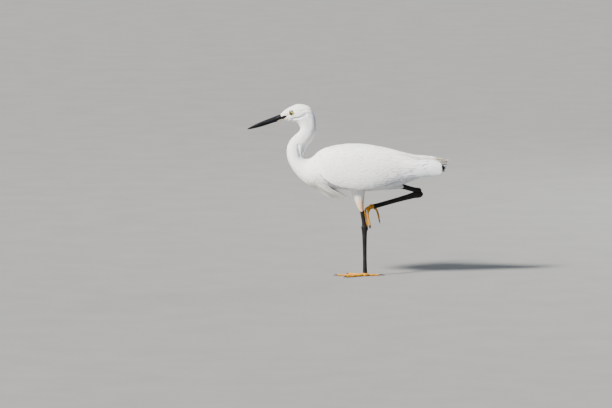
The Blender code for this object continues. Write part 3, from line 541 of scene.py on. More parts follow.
class Finish:
    """A material's node tree, with short calls for the nodes that a maker reaches for."""

    def __init__(self, name, roughness, **uniform):
        self.material = bpy.data.materials.new(name)
        self.material.use_nodes = True
        self.tree = self.material.node_tree
        self.shader = self.tree.nodes["Principled BSDF"]
        self.place = self.tree.nodes.new("ShaderNodeTexCoord").outputs["Object"]
        self.shader.inputs["Roughness"].default_value = roughness
        for key, value in uniform.items():
            self.shader.inputs[SOCKETS[key]].default_value = value

    def node(self, kind, inputs=None, **settings):
        made = self.tree.nodes.new("ShaderNode" + kind)
        for key, value in settings.items():
            setattr(made, key, value)
        for key, value in (inputs or {}).items():
            if isinstance(value, bpy.types.NodeSocket):
                self.tree.links.new(value, made.inputs[key])
            else:
                made.inputs[key].default_value = value
        return made

    def noise(self, scale, detail=3.0, stretch=(1.0, 1.0, 1.0)):
        mapped = self.node("Mapping", {"Vector": self.place, "Scale": stretch})
        inputs = {"Vector": mapped.outputs["Vector"], "Scale": scale, "Detail": detail}
        return self.node("TexNoise", inputs).outputs["Fac"]

    def ramp(self, fac, *stops):
        """Colours or greys by a value: stops are pairs of a value and a colour or grey."""
        made = self.node("ValToRGB", {"Fac": fac})
        elements = made.color_ramp.elements
        while len(elements) < len(stops):
            elements.new(0.5)
        for element, (position, colour) in zip(elements, stops):
            element.position = position
            element.color = (*colour, 1.0) if isinstance(colour, tuple) else (*(colour,) * 3, 1.0)
        return made.outputs["Color"]

    def rising(self, fac, low, high):
        """0 up to a value of low and 1 from high on."""
        return self.ramp(fac, (low, 0.0), (high, 1.0))

    def patches(self, low, high, *noise):
        return self.rising(self.noise(*noise), low, high)

    def mix(self, fac, first, second, blend="MIX"):
        tints = [(*tint, 1.0) if isinstance(tint, tuple) else tint for tint in (first, second)]
        inputs = {"Fac": fac, "Color1": tints[0], "Color2": tints[1]}
        return self.node("MixRGB", inputs, blend_type=blend).outputs["Color"]

    def math(self, kind, first, second=0.0):
        return self.node("Math", {0: first, 1: second}, operation=kind).outputs["Value"]

    def times(self, first, second):
        return self.math("MULTIPLY", first, second)

    def vector_math(self, kind, first, second, output="Value"):
        return self.node("VectorMath", {0: first, 1: tuple(second)}, operation=kind).outputs[output]

    def between(self, value, near, far):
        inputs = {"Value": value, "From Min": near, "From Max": far}
        return self.node("MapRange", inputs).outputs["Result"]

    def along(self, origin, direction):
        """How far a point lies from an origin along a direction, in the bird's frame."""
        moved = self.vector_math("SUBTRACT", self.place, origin, "Vector")
        return self.vector_math("DOT_PRODUCT", moved, direction)

    def reach(self, origin, direction, near, far):
        """0 at near and 1 at far metres from an origin along a direction."""
        return self.between(self.along(origin, direction), near, far)

    def around(self, origin, near, far):
        """0 nearer than near and 1 past far metres from a point."""
        return self.between(self.vector_math("DISTANCE", self.place, origin), near, far)

    def colour(self, socket):
        self.tree.links.new(socket, self.shader.inputs["Base Color"])

    def rough(self, socket):
        self.tree.links.new(socket, self.shader.inputs["Roughness"])

    def bump(self, height, strength, distance):
        made = self.node("Bump", {"Height": height, "Strength": strength, "Distance": distance})
        self.tree.links.new(made.outputs["Normal"], self.shader.inputs["Normal"])


SOCKETS = {
    "specular": "Specular IOR Level",
    "sheen": "Sheen Weight",
    "sheen_roughness": "Sheen Roughness",
    "coat": "Coat Weight",
    "coat_roughness": "Coat Roughness",
    "depth": "Subsurface Weight",
    "depth_radius": "Subsurface Radius",
    "depth_scale": "Subsurface Scale",
}

WHITE = (0.88, 0.88, 0.865)
CREAM = (0.90, 0.855, 0.74)
SHADE = (0.74, 0.77, 0.82)
PEACH = (0.86, 0.50, 0.22)
# The colour of painted blue-grey shade in the hollows and at the nape.
PAINTED_SHADE_TINT = (0.36, 0.43, 0.56)
# The colour of painted shade along the lower rear flank.
FLANK_PAINTED_SHADE = (0.62, 0.67, 0.75)

# Where shade is painted into the white as a blue-grey tint: centre, reach, core and share. The
# nape, the crook of the neck, below the cheek, and the hollows under the bends of the wings.
PAINTED_SHADE_PLACES = [
    ((-0.068, 0.0, 0.334), 0.030, 0.013, 0.75),
    ((-0.1005, 0.0, 0.2720), 0.023, 0.014, 0.95),
    ((-0.0960, 0.0, 0.3465), 0.0185, 0.0125, 0.70),
    ((-0.034, -0.028, 0.199), 0.017, 0.006, 0.80),
    ((-0.034, 0.028, 0.199), 0.017, 0.006, 0.80),
]
ORIGIN, BACKWARD = (0.0, 0.0, 0.0), (1.0, 0.0, 0.0)


def plumage_colour(finish, end_tint=None, end_near=0.2, end_far=0.21):
    """The colours that skin and coat share: white, creamy at the breast, peach at the thigh, and
    painted shade in the hollows, at the nape and low on the rear flank.
    """
    mottle = finish.patches(0.35, 0.72, 38.0, 4.0, (0.6, 1.0, 1.0))
    white = finish.mix(mottle, WHITE, (0.80, 0.805, 0.80))
    breast = finish.around((-0.055, 0.0, 0.188), 0.066, 0.022)
    colour = finish.mix(finish.times(breast, 0.55), white, CREAM)
    streak = finish.patches(0.38, 0.62, 190.0, 3.0, (1.0, 1.0, 0.16))
    # Painted shade, streaked, at the nape, the neck's crook, the cheek and under the wing bends.
    for spot, far, near, share in PAINTED_SHADE_PLACES:
        painted_shade = finish.times(finish.around(spot, far, near), share)
        colour = finish.mix(finish.times(painted_shade, streak), colour, PAINTED_SHADE_TINT)
    # Painted shade low on the rear flank, below a line rising to the rear.
    flank = finish.reach((0.05, 0.0, 0.2135), (0.25, 0.0, -0.97), -0.006, 0.016)
    flank = finish.times(flank, finish.reach(ORIGIN, BACKWARD, 0.02, 0.10))
    colour = finish.mix(finish.times(flank, 0.50), colour, FLANK_PAINTED_SHADE)
    thigh = finish.around((0.025, -0.019, 0.146), 0.032, 0.010)
    colour = finish.mix(finish.times(thigh, 0.90), colour, PEACH)
    if end_tint is None:
        return colour
    end = finish.reach(ORIGIN, BACKWARD, end_near, end_far)
    patch = finish.patches(0.22, 0.46, 170.0, 4.0, (0.4, 1.0, 1.0))
    return finish.mix(finish.times(end, patch), colour, end_tint)


def plumage_finish(name, barbs, lean, **end):
    """Feather white with a soft sheen and painted shade in fine lines along its barbs; barbs is
    how many ribs run off the shaft's length, and lean how many ribs further down the shaft each
    one ends at the vane's edge."""
    finish = Finish(
        name, 0.78, specular=0.25, sheen=0.25, sheen_roughness=0.5,
        depth=0.12, depth_radius=(0.004, 0.0035, 0.003), depth_scale=0.4,
    )
    tone = finish.node("Attribute", attribute_name="tone").outputs["Fac"]
    vane = finish.node("UVMap", uv_map="Vane").outputs["UV"]
    parts = finish.node("SeparateXYZ", {"Vector": vane}).outputs
    side = finish.math("ABSOLUTE", parts["X"])
    colour = finish.mix(finish.times(tone, 0.10), plumage_colour(finish, **end), SHADE)
    shaft = finish.ramp(side, (0.0, 1.0), (0.10, 0.0))
    colour = finish.mix(finish.times(shaft, 0.16), colour, (0.97, 0.96, 0.92))
    slant = finish.math("SUBTRACT", finish.times(parts["Y"], barbs), finish.times(side, lean))
    rib = finish.math("SINE", finish.times(slant, 6.283))
    # Painted shade in fine lines along the barbs, where the ribs stand highest.
    painted_barb_shade = finish.times(finish.rising(rib, 0.30, 1.0), 0.14)
    finish.colour(finish.mix(painted_barb_shade, colour, (0.58, 0.60, 0.63), "MULTIPLY"))
    finish.bump(rib, 0.07, 0.00012)
    return finish.material


# Spots on the left of the bare face, and on its right: place, reach, core and colour.
FACE_SPOTS = [
    ((-0.1200, -0.0125, 0.3460), 0.0060, 0.0020, (0.88, 0.80, 0.50)),
    ((-0.1290, -0.0110, 0.3380), 0.0042, 0.0012, (0.86, 0.62, 0.44)),
    ((-0.1345, -0.0085, 0.3488), 0.0062, 0.0012, (0.40, 0.41, 0.38)),
    ((-0.1277, -0.0105, 0.3499), 0.0020, 0.0009, (0.06, 0.06, 0.055)),
]


def skin_finish():
    """The feathered skin under the coat, with pale bare skin at the face."""
    finish = Finish(
        "skin_under_feathers", 0.75, depth=0.1, depth_radius=(0.003, 0.0015, 0.001), depth_scale=0.5
    )
    bare = finish.node("Attribute", attribute_name="bare").outputs["Fac"]
    mottle = finish.patches(0.35, 0.7, 420.0, 5.0)
    lores = finish.mix(mottle, (0.76, 0.73, 0.61), (0.47, 0.48, 0.41))
    for (x, y, z), wide, core, tint in FACE_SPOTS:
        pair = [finish.around((x, side, z), wide, core) for side in (y, -y)]
        lores = finish.mix(finish.times(finish.math("MAXIMUM", *pair), 0.85), lores, tint)
    finish.colour(finish.mix(bare, plumage_colour(finish), lores))
    finish.bump(finish.noise(700.0, 5.0, (0.45, 1.0, 1.4)), 0.6, 0.0006)
    return finish.material


def bill_finish(lower):
    """Black horn, blue-grey where it thins, and pale at the base of the lower bill."""
    finish = Finish("bill_horn_lower" if lower else "bill_horn_upper", 0.30, specular=0.075)
    streak = finish.patches(0.35, 0.75, 60.0, 5.0, (0.25, 6.0, 6.0))
    colour = finish.mix(streak, (0.003, 0.003, 0.004), (0.009, 0.010, 0.014))
    worn = finish.patches(0.60, 0.72, 500.0, 3.0, (0.3, 1.0, 1.0))
    colour = finish.mix(finish.times(worn, 0.10), colour, (0.05, 0.05, 0.06))
    if lower:
        back = finish.reach(BILL_BASE, BILL_ALONG, 0.0150, 0.0080)
        below = finish.reach(BILL_BASE, -BILL_UP, 0.0026, 0.0040)
        blotch = finish.ramp(
            finish.noise(260.0, 4.0), (0.3, (0.78, 0.66, 0.52)), (0.7, (0.72, 0.52, 0.38))
        )
        colour = finish.mix(finish.rising(finish.times(back, below), 0.25, 0.75), colour, blotch)
    finish.colour(colour)
    finish.rough(finish.ramp(finish.noise(300.0, 3.0, (0.2, 1.0, 1.0)), (0.3, 0.36), (0.8, 0.52)))
    finish.bump(finish.noise(180.0, 4.0, (0.12, 3.0, 3.0)), 0.25, 0.0003)
    return finish.material


def scute_finish(name, scale, edge, blotches, tints, dust, rough, relief, **uniform):
    """Scaled skin in two mottled tints, with seams of a third between its scutes."""
    finish = Finish(name, 0.45, **uniform)
    cells = finish.node(
        "TexVoronoi", {"Vector": finish.place, "Scale": scale}, feature="DISTANCE_TO_EDGE"
    ).outputs["Distance"]
    colour = finish.mix(finish.patches(0.35, 0.7, blotches, 4.0), *tints[:2])
    seam = finish.ramp(cells, (0.02, 1.0), (edge, 0.0))
    finish.colour(finish.mix(finish.times(seam, dust), colour, tints[2]))
    finish.rough(finish.ramp(finish.noise(240.0, 3.0), (0.3, rough[0]), (0.7, rough[1])))
    finish.bump(finish.rising(cells, 0.0, relief[0]), relief[1], 0.0003)
    return finish.material


def leg_finish():
    """Black scaled skin with a dull gloss and dusty seams between the scutes."""
    tints = ((0.004, 0.004, 0.005), (0.012, 0.012, 0.011), (0.05, 0.047, 0.042))
    rough, relief = (0.32, 0.58), (0.16, 0.35)
    return scute_finish("leg_scutes", 620.0, 0.12, 90.0, tints, 0.25, rough, relief, specular=0.12)


def toe_finish():
    """Orange-yellow scaled skin, darker between its scales."""
    tints = ((0.55, 0.23, 0.002), (0.42, 0.19, 0.006), (0.20, 0.09, 0.01))
    return scute_finish(
        "toe_scutes", 900.0, 0.14, 120.0, tints, 0.50, (0.34, 0.55), (0.2, 0.4), specular=0.25,
        depth=0.08, depth_radius=(0.002, 0.001, 0.0004), depth_scale=0.5,
    )


def claw_finish():
    finish = Finish("claw_horn", 0.28)
    streak = finish.patches(0.35, 0.75, 300.0, 4.0, (1.0, 1.0, 0.4))
    finish.colour(finish.mix(streak, (0.014, 0.013, 0.012), (0.07, 0.062, 0.050)))
    finish.bump(finish.noise(800.0, 3.0), 0.2, 0.0002)
    return finish.material


def eye_finish(side):
    """A pale yellow iris with a black pupil and a dark rim, under a wet clear cornea."""
    finish = Finish("eye_" + side, 0.06, specular=0.6, coat=1.0, coat_roughness=0.02)
    look = Vector((-0.22, SIDES[side], -0.02)).normalized()
    ring = finish.ramp(
        finish.math("DIVIDE", finish.along(EYE[side], look), EYE_RADIUS),
        (0.00, (0.03, 0.03, 0.025)),
        (0.56, (0.02, 0.018, 0.012)),
        (0.63, (0.55, 0.42, 0.12)),
        (0.75, (0.86, 0.72, 0.28)),
        (0.845, (0.62, 0.45, 0.10)),
        (0.870, (0.002, 0.002, 0.003)),
    )
    fleck = finish.times(finish.patches(0.45, 0.7, 1400.0, 3.0), 0.25)
    finish.colour(finish.mix(fleck, ring, (0.45, 0.33, 0.08), "MULTIPLY"))
    return finish.material


def lid_finish():
    """Pale yellowish skin, black along the rim of the lids and at their front corner."""
    finish = Finish("eyelid_skin", 0.5, specular=0.12)
    mottle = finish.patches(0.35, 0.7, 900.0, 4.0)
    pale = finish.mix(mottle, (0.84, 0.79, 0.60), (0.72, 0.68, 0.50))
    rims = [finish.around(spot, 0.0064, 0.0059) for spot in EYE.values()]
    corners = [(spot.x - 0.0037, spot.y * 1.33, spot.z) for spot in EYE.values()]
    rims += [finish.around(corner, 0.0016, 0.0008) for corner in corners]
    rim = rims[0]
    for other in rims[1:]:
        rim = finish.math("MAXIMUM", rim, other)
    finish.colour(finish.mix(rim, pale, (0.008, 0.007, 0.006)))
    finish.bump(finish.noise(1500.0, 3.0), 0.35, 0.0002)
    return finish.material


def floor_finish():
    finish = Finish("studio_floor", 0.75)
    grain = finish.patches(0.3, 0.7, 9.0, 4.0)
    finish.colour(finish.mix(grain, (0.168, 0.168, 0.165), (0.184, 0.184, 0.181)))
    finish.bump(finish.noise(260.0, 3.0), 0.03, 0.0005)
    return finish.material


# Meshes made from rings


def pick(thing):
    bpy.ops.object.select_all(action="DESELECT")
    thing.select_set(True)
    bpy.context.view_layer.objects.active = thing


def settled(made, finish):
    """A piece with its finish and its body."""
    made.data.materials.clear()
    made.data.materials.append(finish)
    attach(made, "root")
    return made


def placed(mesh, finish):
    made = bpy.data.objects.new(mesh.name, mesh)
    bpy.context.scene.collection.objects.link(made)
    return settled(made, finish)


def mesh_object(name, points, faces, finish, smooth_angle=60.0):
    mesh = bpy.data.meshes.new(name)
    mesh.from_pydata([tuple(point) for point in points], [], faces)
    made = placed(mesh, finish)
    pick(made)
    bpy.ops.object.mode_set(mode="EDIT")
    bpy.ops.mesh.select_all(action="SELECT")
    bpy.ops.mesh.normals_make_consistent(inside=False)
    bpy.ops.object.mode_set(mode="OBJECT")
    made.data.shade_smooth()
    made.data.set_sharp_from_angle(angle=math.radians(smooth_angle))
    return made


def ring_faces(rings, count):
    """The faces of a closed form made of rings of points, with both ends capped."""
    faces = []
    for r in range(rings - 1):
        for k in range(count):
            a, b = r * count + k, r * count + (k + 1) % count
            faces.append((a, b, b + count, a + count))
    last = (rings - 1) * count
    return faces + [tuple(range(count)), tuple(range(last, last + count))]


def path_points(points, count):
    points = np.array([tuple(p) for p in points], float)
    return smooth_read(points, np.linspace(0, len(points) - 1, count))


def limb_rings(points, depths, widths, rows, columns, across=(0.0, 1.0, 0.0), relief=None):
    """Rings of points round a bent limb. relief(t, angle) gives extra radius in metres."""
    centres = path_points(points, rows)
    sizes = [np.array(values, float)[:, None] for values in (depths, widths)]
    depth, width = [smooth_read(size, np.linspace(0, len(size) - 1, rows)) for size in sizes]
    along = np.gradient(centres, axis=0)
    along /= np.linalg.norm(along, axis=1, keepdims=True)
    across = np.array(across, float)
    wide = across[None] - along * (along @ across)[:, None]
    wide /= np.linalg.norm(wide, axis=1, keepdims=True)
    deep = np.cross(along, wide)
    angle = np.linspace(0, 2 * np.pi, columns, endpoint=False)[None, :]
    t = np.linspace(0, 1, rows)[:, None]
    extra = relief(t, angle) if relief else 0.0
    d = (depth + extra) * np.cos(angle)
    w = (width + extra) * np.sin(angle)
    return centres[:, None] + deep[:, None] * d[..., None] + wide[:, None] * w[..., None]


def drawn_out(name, rings, finish, sharp=40.0, node=None):
    """A closed form drawn out ring by ring from a circle, each ring shaped in its place. It
    replaces the node of the solid frame that it is given."""
    bpy.ops.mesh.primitive_circle_add(vertices=len(rings[0]), radius=0.01, fill_type="NGON")
    made = bpy.context.object
    made.name = made.data.name = name
    bpy.ops.object.mode_set(mode="EDIT")
    bpy.ops.mesh.select_all(action="SELECT")
    work = bmesh.from_edit_mesh(made.data)
    for vert, place in zip(list(work.verts), rings[0]):
        vert.co = place
    for before, ring in zip(rings, rings[1:]):
        bpy.ops.mesh.extrude_region_move()
        work = bmesh.from_edit_mesh(made.data)
        moving = [vert for vert in work.verts if vert.select]
        spots = np.array([vert.co[:] for vert in moving])
        gaps = np.linalg.norm(spots[:, None] - np.asarray(before)[None], axis=2)
        for vert, k in zip(moving, gaps.argmin(axis=1)):
            vert.co = ring[k]
    bpy.ops.object.mode_set(mode="OBJECT")
    close_start(made)
    finished(made, finish, sharp)
    if node:
        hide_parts(node)


def close_start(made):
    """Fills the first ring's opening, which the drawing out leaves."""
    work = bmesh.new()
    work.from_mesh(made.data)
    loose = [edge for edge in work.edges if edge.is_boundary]
    if loose:
        bmesh.ops.holes_fill(work, edges=loose, sides=0)
    bmesh.ops.recalc_face_normals(work, faces=work.faces)
    work.to_mesh(made.data)
    work.free()


def finished(made, finish, sharp=40.0):
    """The last touches of a hand-made piece: place in its mesh, shading, finish, body."""
    pick(made)
    bpy.ops.object.transform_apply(location=True, rotation=True, scale=True)
    bpy.ops.object.shade_smooth_by_angle(angle=math.radians(sharp))
    settled(made, finish)


# The face: bare skin from the bill to the eye, and along the lower jaw, seen from the side.
LORES = [
    (-0.1500, 0.3452), (-0.1290, 0.3452), (-0.1245, 0.3462), (-0.1195, 0.3468),
    (-0.1150, 0.3485), (-0.1135, 0.3520), (-0.1148, 0.3560), (-0.1185, 0.3580),
    (-0.1240, 0.3568), (-0.1310, 0.3538), (-0.1380, 0.3512), (-0.1500, 0.3490),
]
JAW = [
    (-0.1500, 0.3280), (-0.1350, 0.3320), (-0.1275, 0.3352),
    (-0.1262, 0.3405), (-0.1290, 0.3452), (-0.1500, 0.3460),
]


def outside_by(x, z, outline):
    """How far points lie outside a closed outline, less than 0 within it."""
    closed = outline + [outline[0]]
    away = distance_to_path(x, z, closed)
    inside = np.zeros(np.shape(x), bool)
    for (ax, az), (bx, bz) in zip(closed, closed[1:]):
        cut = (az > z) != (bz > z)
        inside ^= cut & (x < (bx - ax) * (z - az) / (bz - az + 1e-12) + ax)
    return np.where(inside, -away, away)


def bareness(points):
    """1 on the bare skin of the face and 0 where feathers grow."""
    x, y, z = points[..., 0], np.abs(points[..., 1]), points[..., 2]
    lores = outside_by(x, z, LORES)
    jaw = np.maximum(outside_by(x, z, JAW), 0.0026 - y)
    return np.clip(0.5 - np.minimum(lores, jaw) / 0.0008, 0, 1)


def make_skin(finish):
    """One skin from the face to the tail's root with both thighs, inside the coat."""
    stretches = [(-0.15, 8.0, 112), (8.0, 18.5, 64)]
    places = [np.linspace(*stretch, endpoint=False) for stretch in stretches]
    places = np.concatenate([*places, np.linspace(18.5, LAST_PLACE, 74)])
    columns = 128
    thigh_grid, thigh_depth, socket_depth, bare_depth = (24, 28), 0.0013, 0.0040, 0.0002
    points = trunk_grid(places, columns)
    normal = Sheet(points, True).normal
    bare = bareness(points)
    depth = np.interp(places, [0, 2, 7, 12, 20, 30, 33], np.array([3, 5, 6, 7, 10, 11, 8]) / 1e4)
    for side, sign in SIDES.items():
        off = np.hypot(points[..., 0] - EYE[side].x, points[..., 2] - EYE[side].z)
        socket = np.clip((EYE_OPENING - off) / 0.0012, 0, 1) * (points[..., 1] * sign > 0)
        points[..., 1] -= sign * socket_depth * socket
    points = points - normal * (depth[:, None] * (1 - bare) + bare_depth * bare)[..., None]
    skin = mesh_object("skin", points.reshape(-1, 3), ring_faces(len(places), columns), finish)
    shades = skin.data.attributes.new("bare", "FLOAT", "POINT")
    shades.data.foreach_set("value", np.ascontiguousarray(bare.reshape(-1), dtype=np.float32))
    for side in SIDES:
        rings = thigh_rings(side, *thigh_grid, -thigh_depth)
        core = "thigh_core_" + side
        body = mesh_object(core, rings.reshape(-1, 3), ring_faces(*thigh_grid), finish, 40.0)
        joined = skin.modifiers.new("joined", "BOOLEAN")
        joined.operation = "UNION"
        joined.solver = "EXACT"
        joined.object = body
        pick(skin)
        bpy.ops.object.modifier_apply(modifier="joined")
        bpy.data.objects.remove(body)
    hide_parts("head", "neck_upper", "neck_lower", "torso", "thigh_left", "thigh_right")


# Each thigh from the body down: centre (x, y, z), depth and width.
THIGHS = {
    "left": [
        (0.0235, -0.0200, 0.1990, 0.0172, 0.0112),
        (0.0240, -0.0200, 0.1880, 0.0154, 0.0106),
        (0.0250, -0.0195, 0.1780, 0.0128, 0.0094),
        (0.0270, -0.0185, 0.1665, 0.0100, 0.0076),
        (0.0290, -0.0175, 0.1540, 0.0068, 0.0056),
        (0.0315, -0.0160, 0.1440, 0.0043, 0.0038),
    ],
    "right": [
        (0.0430, 0.0200, 0.2030, 0.0150, 0.0108),
        (0.0620, 0.0200, 0.1985, 0.0130, 0.0098),
        (0.0815, 0.0205, 0.1940, 0.0100, 0.0084),
        (0.1010, 0.0210, 0.1918, 0.0068, 0.0062),
        (0.1185, 0.0212, 0.1905, 0.0045, 0.0040),
    ],
}


def thigh_rings(side, rows, columns, grow):
    table = np.array(THIGHS[side])
    return limb_rings(table[:, :3], table[:, 3] + grow, table[:, 4] + grow, rows, columns)


def round_the_face(points, u, v):
    """Keeps the tufts off the bare face, the eyes and the bill's root."""
    place = place_of(u)
    angle = np.minimum(v, TRUNK_COLUMNS - v) * 2 * np.pi / TRUNK_COLUMNS
    clear = bareness(points) < 0.25
    for spot in EYE.values():
        clear &= np.linalg.norm(points - np.array(spot), axis=1) > EYE_OPENING
    return clear & ((place > 0.25) | (angle < 1.05)) & ((angle < 1.4) | (place > 0.9))


def off_the_wing(points, u, v):
    """Keeps the body's feathers clear of the folded wings and the tail."""
    x, z = points[:, 0], points[:, 2]
    row = table_read(WING, np.clip(x, WING[0][0], WING[-1][0]))
    ahead = x < WING[0][0] + 0.006
    below = z < row[:, 1] + np.interp(x, [0.03, 0.08], [0.005, -0.0015])
    above = (z > row[:, 0] - 0.001) & (x < 0.02)
    return (ahead | below | above) & (x < 0.176)


def body_coat(sheet, finish):
    """The coat of the head, the neck, the breast and the belly in fine overlapping tufts."""
    draw = np.random.RandomState(5)

    def coat(name, start, end, spacing, seeds, keep, long, half, sunk, shape, **spreads):
        """long is read in millimetres by section, half and sunk in metres."""
        u, v = scatter(sheet, row_of(start), row_of(end), spacing, seeds[0], keep)
        long_here = np.interp(place_of(u), long[0], np.array(long[1]) / 1000)
        half_here = np.interp(place_of(u), *half[:2])
        sunk_here = np.interp(place_of(u), *sunk)
        sizes = (long_here, long[2]), (half_here, half[2]), sunk_here
        laid = feathers_at(draw, u, v, *sizes, **spreads)
        lay_feathers(name, sheet, laid, *shape, finish, seeds[1])

    coat(
        "coat_head", -0.75, 7.6, 0.00072, (11, 21), round_the_face,
        long=([-1, 0.5, 2.5, 5, 7.6], [2.6, 3.8, 5.6, 9.0, 12.0], (0.8, 1.2)),
        half=([0, 3, 7], [0.00032, 0.00040, 0.0005], (0.8, 1.25)),
        sunk=([0, 2, 7], [0.0005, 0.0008, 0.0010]),
        shape=(DOWN_TUFT, 0.00012), turn=0.16, bend=0.15, proud=(0.0, 0.0003), tilt=0.00005,
    )
    coat(
        "coat_neck", 6.9, 18.6, 0.00104, (12, 22), None,
        long=([7, 10, 15, 18.6], [12.0, 13, 15, 18], (0.8, 1.25)),
        half=([7, 13, 18.6], [0.00050, 0.00062, 0.0009], (0.8, 1.25)),
        sunk=([7, 18], [0.0010, 0.0014]),
        shape=(DOWN_TUFT, 0.00016), turn=0.13, bend=0.12, proud=(0.0, 0.0005), tilt=0.00008,
    )
    coat(
        "coat_breast_and_belly", 17.8, 31.8, 0.00185, (13, 23), off_the_wing,
        long=([17, 20, 26, 30, 32], [15, 19, 19, 21, 20], (0.8, 1.15)),
        half=([0], [1.0], (0.0008, 0.0016)),
        sunk=([0], [ROOT_DEPTH]),
        shape=(BODY_FEATHER, 0.00024), turn=0.11, bend=0.10, proud=(0.0, 0.0008), tilt=0.00014,
    )


WING_TABLE = [
    # tier, count, down from and to, first and last root X, length, half width, slant, proud
    ("lesser", 15, 0.04, 0.97, -0.058, -0.056, 0.0150, 0.0042, 0.02, 0.0004),
    ("lesser", 17, 0.03, 0.98, -0.050, -0.051, 0.0170, 0.0042, 0.02, 0.0005),
    ("lesser", 19, 0.03, 0.98, -0.041, -0.044, 0.0190, 0.0042, 0.02, 0.0005),
    ("median", 19, 0.03, 0.98, -0.031, -0.035, 0.0270, 0.0046, 0.02, 0.0006),
    ("median", 19, 0.03, 0.98, -0.019, -0.024, 0.0320, 0.0048, 0.02, 0.0007),
    ("greater", 18, 0.03, 0.98, -0.004, -0.012, 0.0430, 0.0050, 0.01, 0.0007),
    ("greater", 17, 0.04, 0.97, 0.016, 0.004, 0.0500, 0.0052, 0.01, 0.0007),
    ("secondary", 14, 0.34, 0.98, 0.046, 0.018, 0.0800, 0.0050, 0.01, 0.0006),
    ("secondary", 13, 0.34, 0.98, 0.066, 0.052, 0.0880, 0.0050, 0.00, 0.0006),
    ("secondary", 11, 0.36, 0.99, 0.086, 0.097, 0.0800, 0.0048, 0.00, 0.0007),
    ("tertial", 9, 0.04, 0.50, 0.040, 0.034, 0.1200, 0.0054, 0.04, 0.0009),
    ("tertial", 7, 0.05, 0.40, 0.074, 0.058, 0.1080, 0.0050, 0.05, 0.0011),
    ("primary", 12, 0.14, 0.96, 0.100, 0.108, 0.0950, 0.0044, 0.00, 0.0000),
    ("primary", 13, 0.10, 0.985, 0.112, 0.120, 0.1100, 0.0043, 0.00, 0.0005),
]
WING_GROUPS = ("lesser", "median", "greater", "secondary", "tertial", "primary")
WING_SEED = {"left": 1, "right": 2}
WING_TIP = 0.2072  # no feather of the wing reaches past this X


def wing_core(sheet, side, finish):
    """The body of a folded wing, thinning to its tip and its edges."""
    rows, across, thickest = 90, 30, 0.0072
    columns = sheet.size[1]
    ends = [(x - SHEET_FRONT) / SHEET_STEP for x in (-0.064, 0.186)]
    u, v = np.meshgrid(
        np.linspace(*ends, rows), np.linspace(0, columns - 1.01, across), indexing="ij"
    )
    share = (u - u[0, 0]) / (u[-1, 0] - u[0, 0])
    down = v / (columns - 1)
    edge = np.clip(4 * np.minimum(np.minimum(down, 1 - down) + 0.10, share + 0.08), 0, 1)
    thick = thickest * (1 - 0.90 * share**1.5) * edge
    outer = sheet.at(u.ravel(), v.ravel(), np.full(u.size, -ROOT_DEPTH)).reshape(rows, across, 3)
    inner = sheet.at(u.ravel(), v.ravel(), (-ROOT_DEPTH - thick).ravel()).reshape(rows, across, 3)
    ring = np.concatenate([outer, inner[:, ::-1]], axis=1).reshape(-1, 3)
    core = mesh_object("wing_body_" + side, ring, ring_faces(rows, 2 * across), finish)
    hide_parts("wing_" + side)


def joined_parts(parts):
    return {key: np.concatenate([part[key] for part in parts]) for key in parts[0]}


def folded_wing(side, finish, core_finish):
    """A folded wing: its body, then its tiers from the shoulder to the tip."""
    sheet = wing_sheet(side)
    wing_core(sheet, side, core_finish)
    seed = 30 + WING_SEED[side]
    draw = np.random.RandomState(seed)
    for group in WING_GROUPS:
        picks = [row[1:] for row in WING_TABLE if row[0] == group]
        parts = []
        for count, top, bottom, first, last, length, half, slant, proud in picks:
            share = np.linspace(0, 1, count)
            x = first + (last - first) * share + draw.uniform(-0.0012, 0.0012, count)
            most = WING_TIP - 0.030 * np.clip(0.20 - share, 0, 1)
            most = most - 0.014 * np.clip(share - 0.80, 0, 1)
            most = most - draw.uniform(0, 0.0014 if group == "primary" else 0.0030, count)
            most = most - (0.016 * (1 - share) if group == "tertial" else 0.0)
            most = most - (0.020 if group == "secondary" else 0.0)
            part = dict(u=(x - SHEET_FRONT) / SHEET_STEP)
            part["v"] = (top + (bottom - top) * share) * (sheet.size[1] - 1)
            part["length"] = np.minimum(length * draw.uniform(0.92, 1.08, count), most - x)
            part["turn"] = slant + draw.normal(0, 0.012, count)
            part["bend"] = draw.normal(0, 0.02, count)
            part["half"] = half * draw.uniform(0.92, 1.08, count)
            part["sunk"] = np.full(count, ROOT_DEPTH)
            part["proud"] = proud + 0.0002 * draw.uniform(-1, 1, count)
            part["tilt"] = np.full(count, 0.00034)
            parts.append(part)
        outline = QUILL_VANE if group == "primary" else WING_VANE
        name = "wing_%s_%s" % (side, group)
        lay_feathers(name, sheet, joined_parts(parts), outline, 0.0005, finish, seed + 10)


def wing_front(side, finish):
    """Small soft feathers that run over the wing's front and upper coverts like fine hair."""
    sheet = wing_sheet(side)
    seed = 50 + WING_SEED[side]
    draw = np.random.RandomState(seed)

    def front_half(points, u, v):
        chance = np.interp(points[:, 0], [-0.062, 0.02, 0.07, 0.12], [1.0, 1.0, 0.6, 0.0])
        return draw.uniform(0, 1, len(points)) < chance

    u, v = scatter(sheet, 6, SHEET_ROWS * 0.66, 0.0023, seed, front_half)
    long = np.interp(sheet_x(u), [-0.06, 0.0, 0.1], [0.015, 0.024, 0.034])
    laid = feathers_at(
        draw, u, v, (long, (0.8, 1.2)), (1.0, (0.0008, 0.0016)), 0.0004, lean=0.03,
        turn=0.07, bend=0.06, proud=(0.0010, 0.0014), tilt=0.00006,
    )
    lay_feathers("wing_%s_soft_coverts" % side, sheet, laid, BODY_FEATHER, 0.0002, finish, seed)


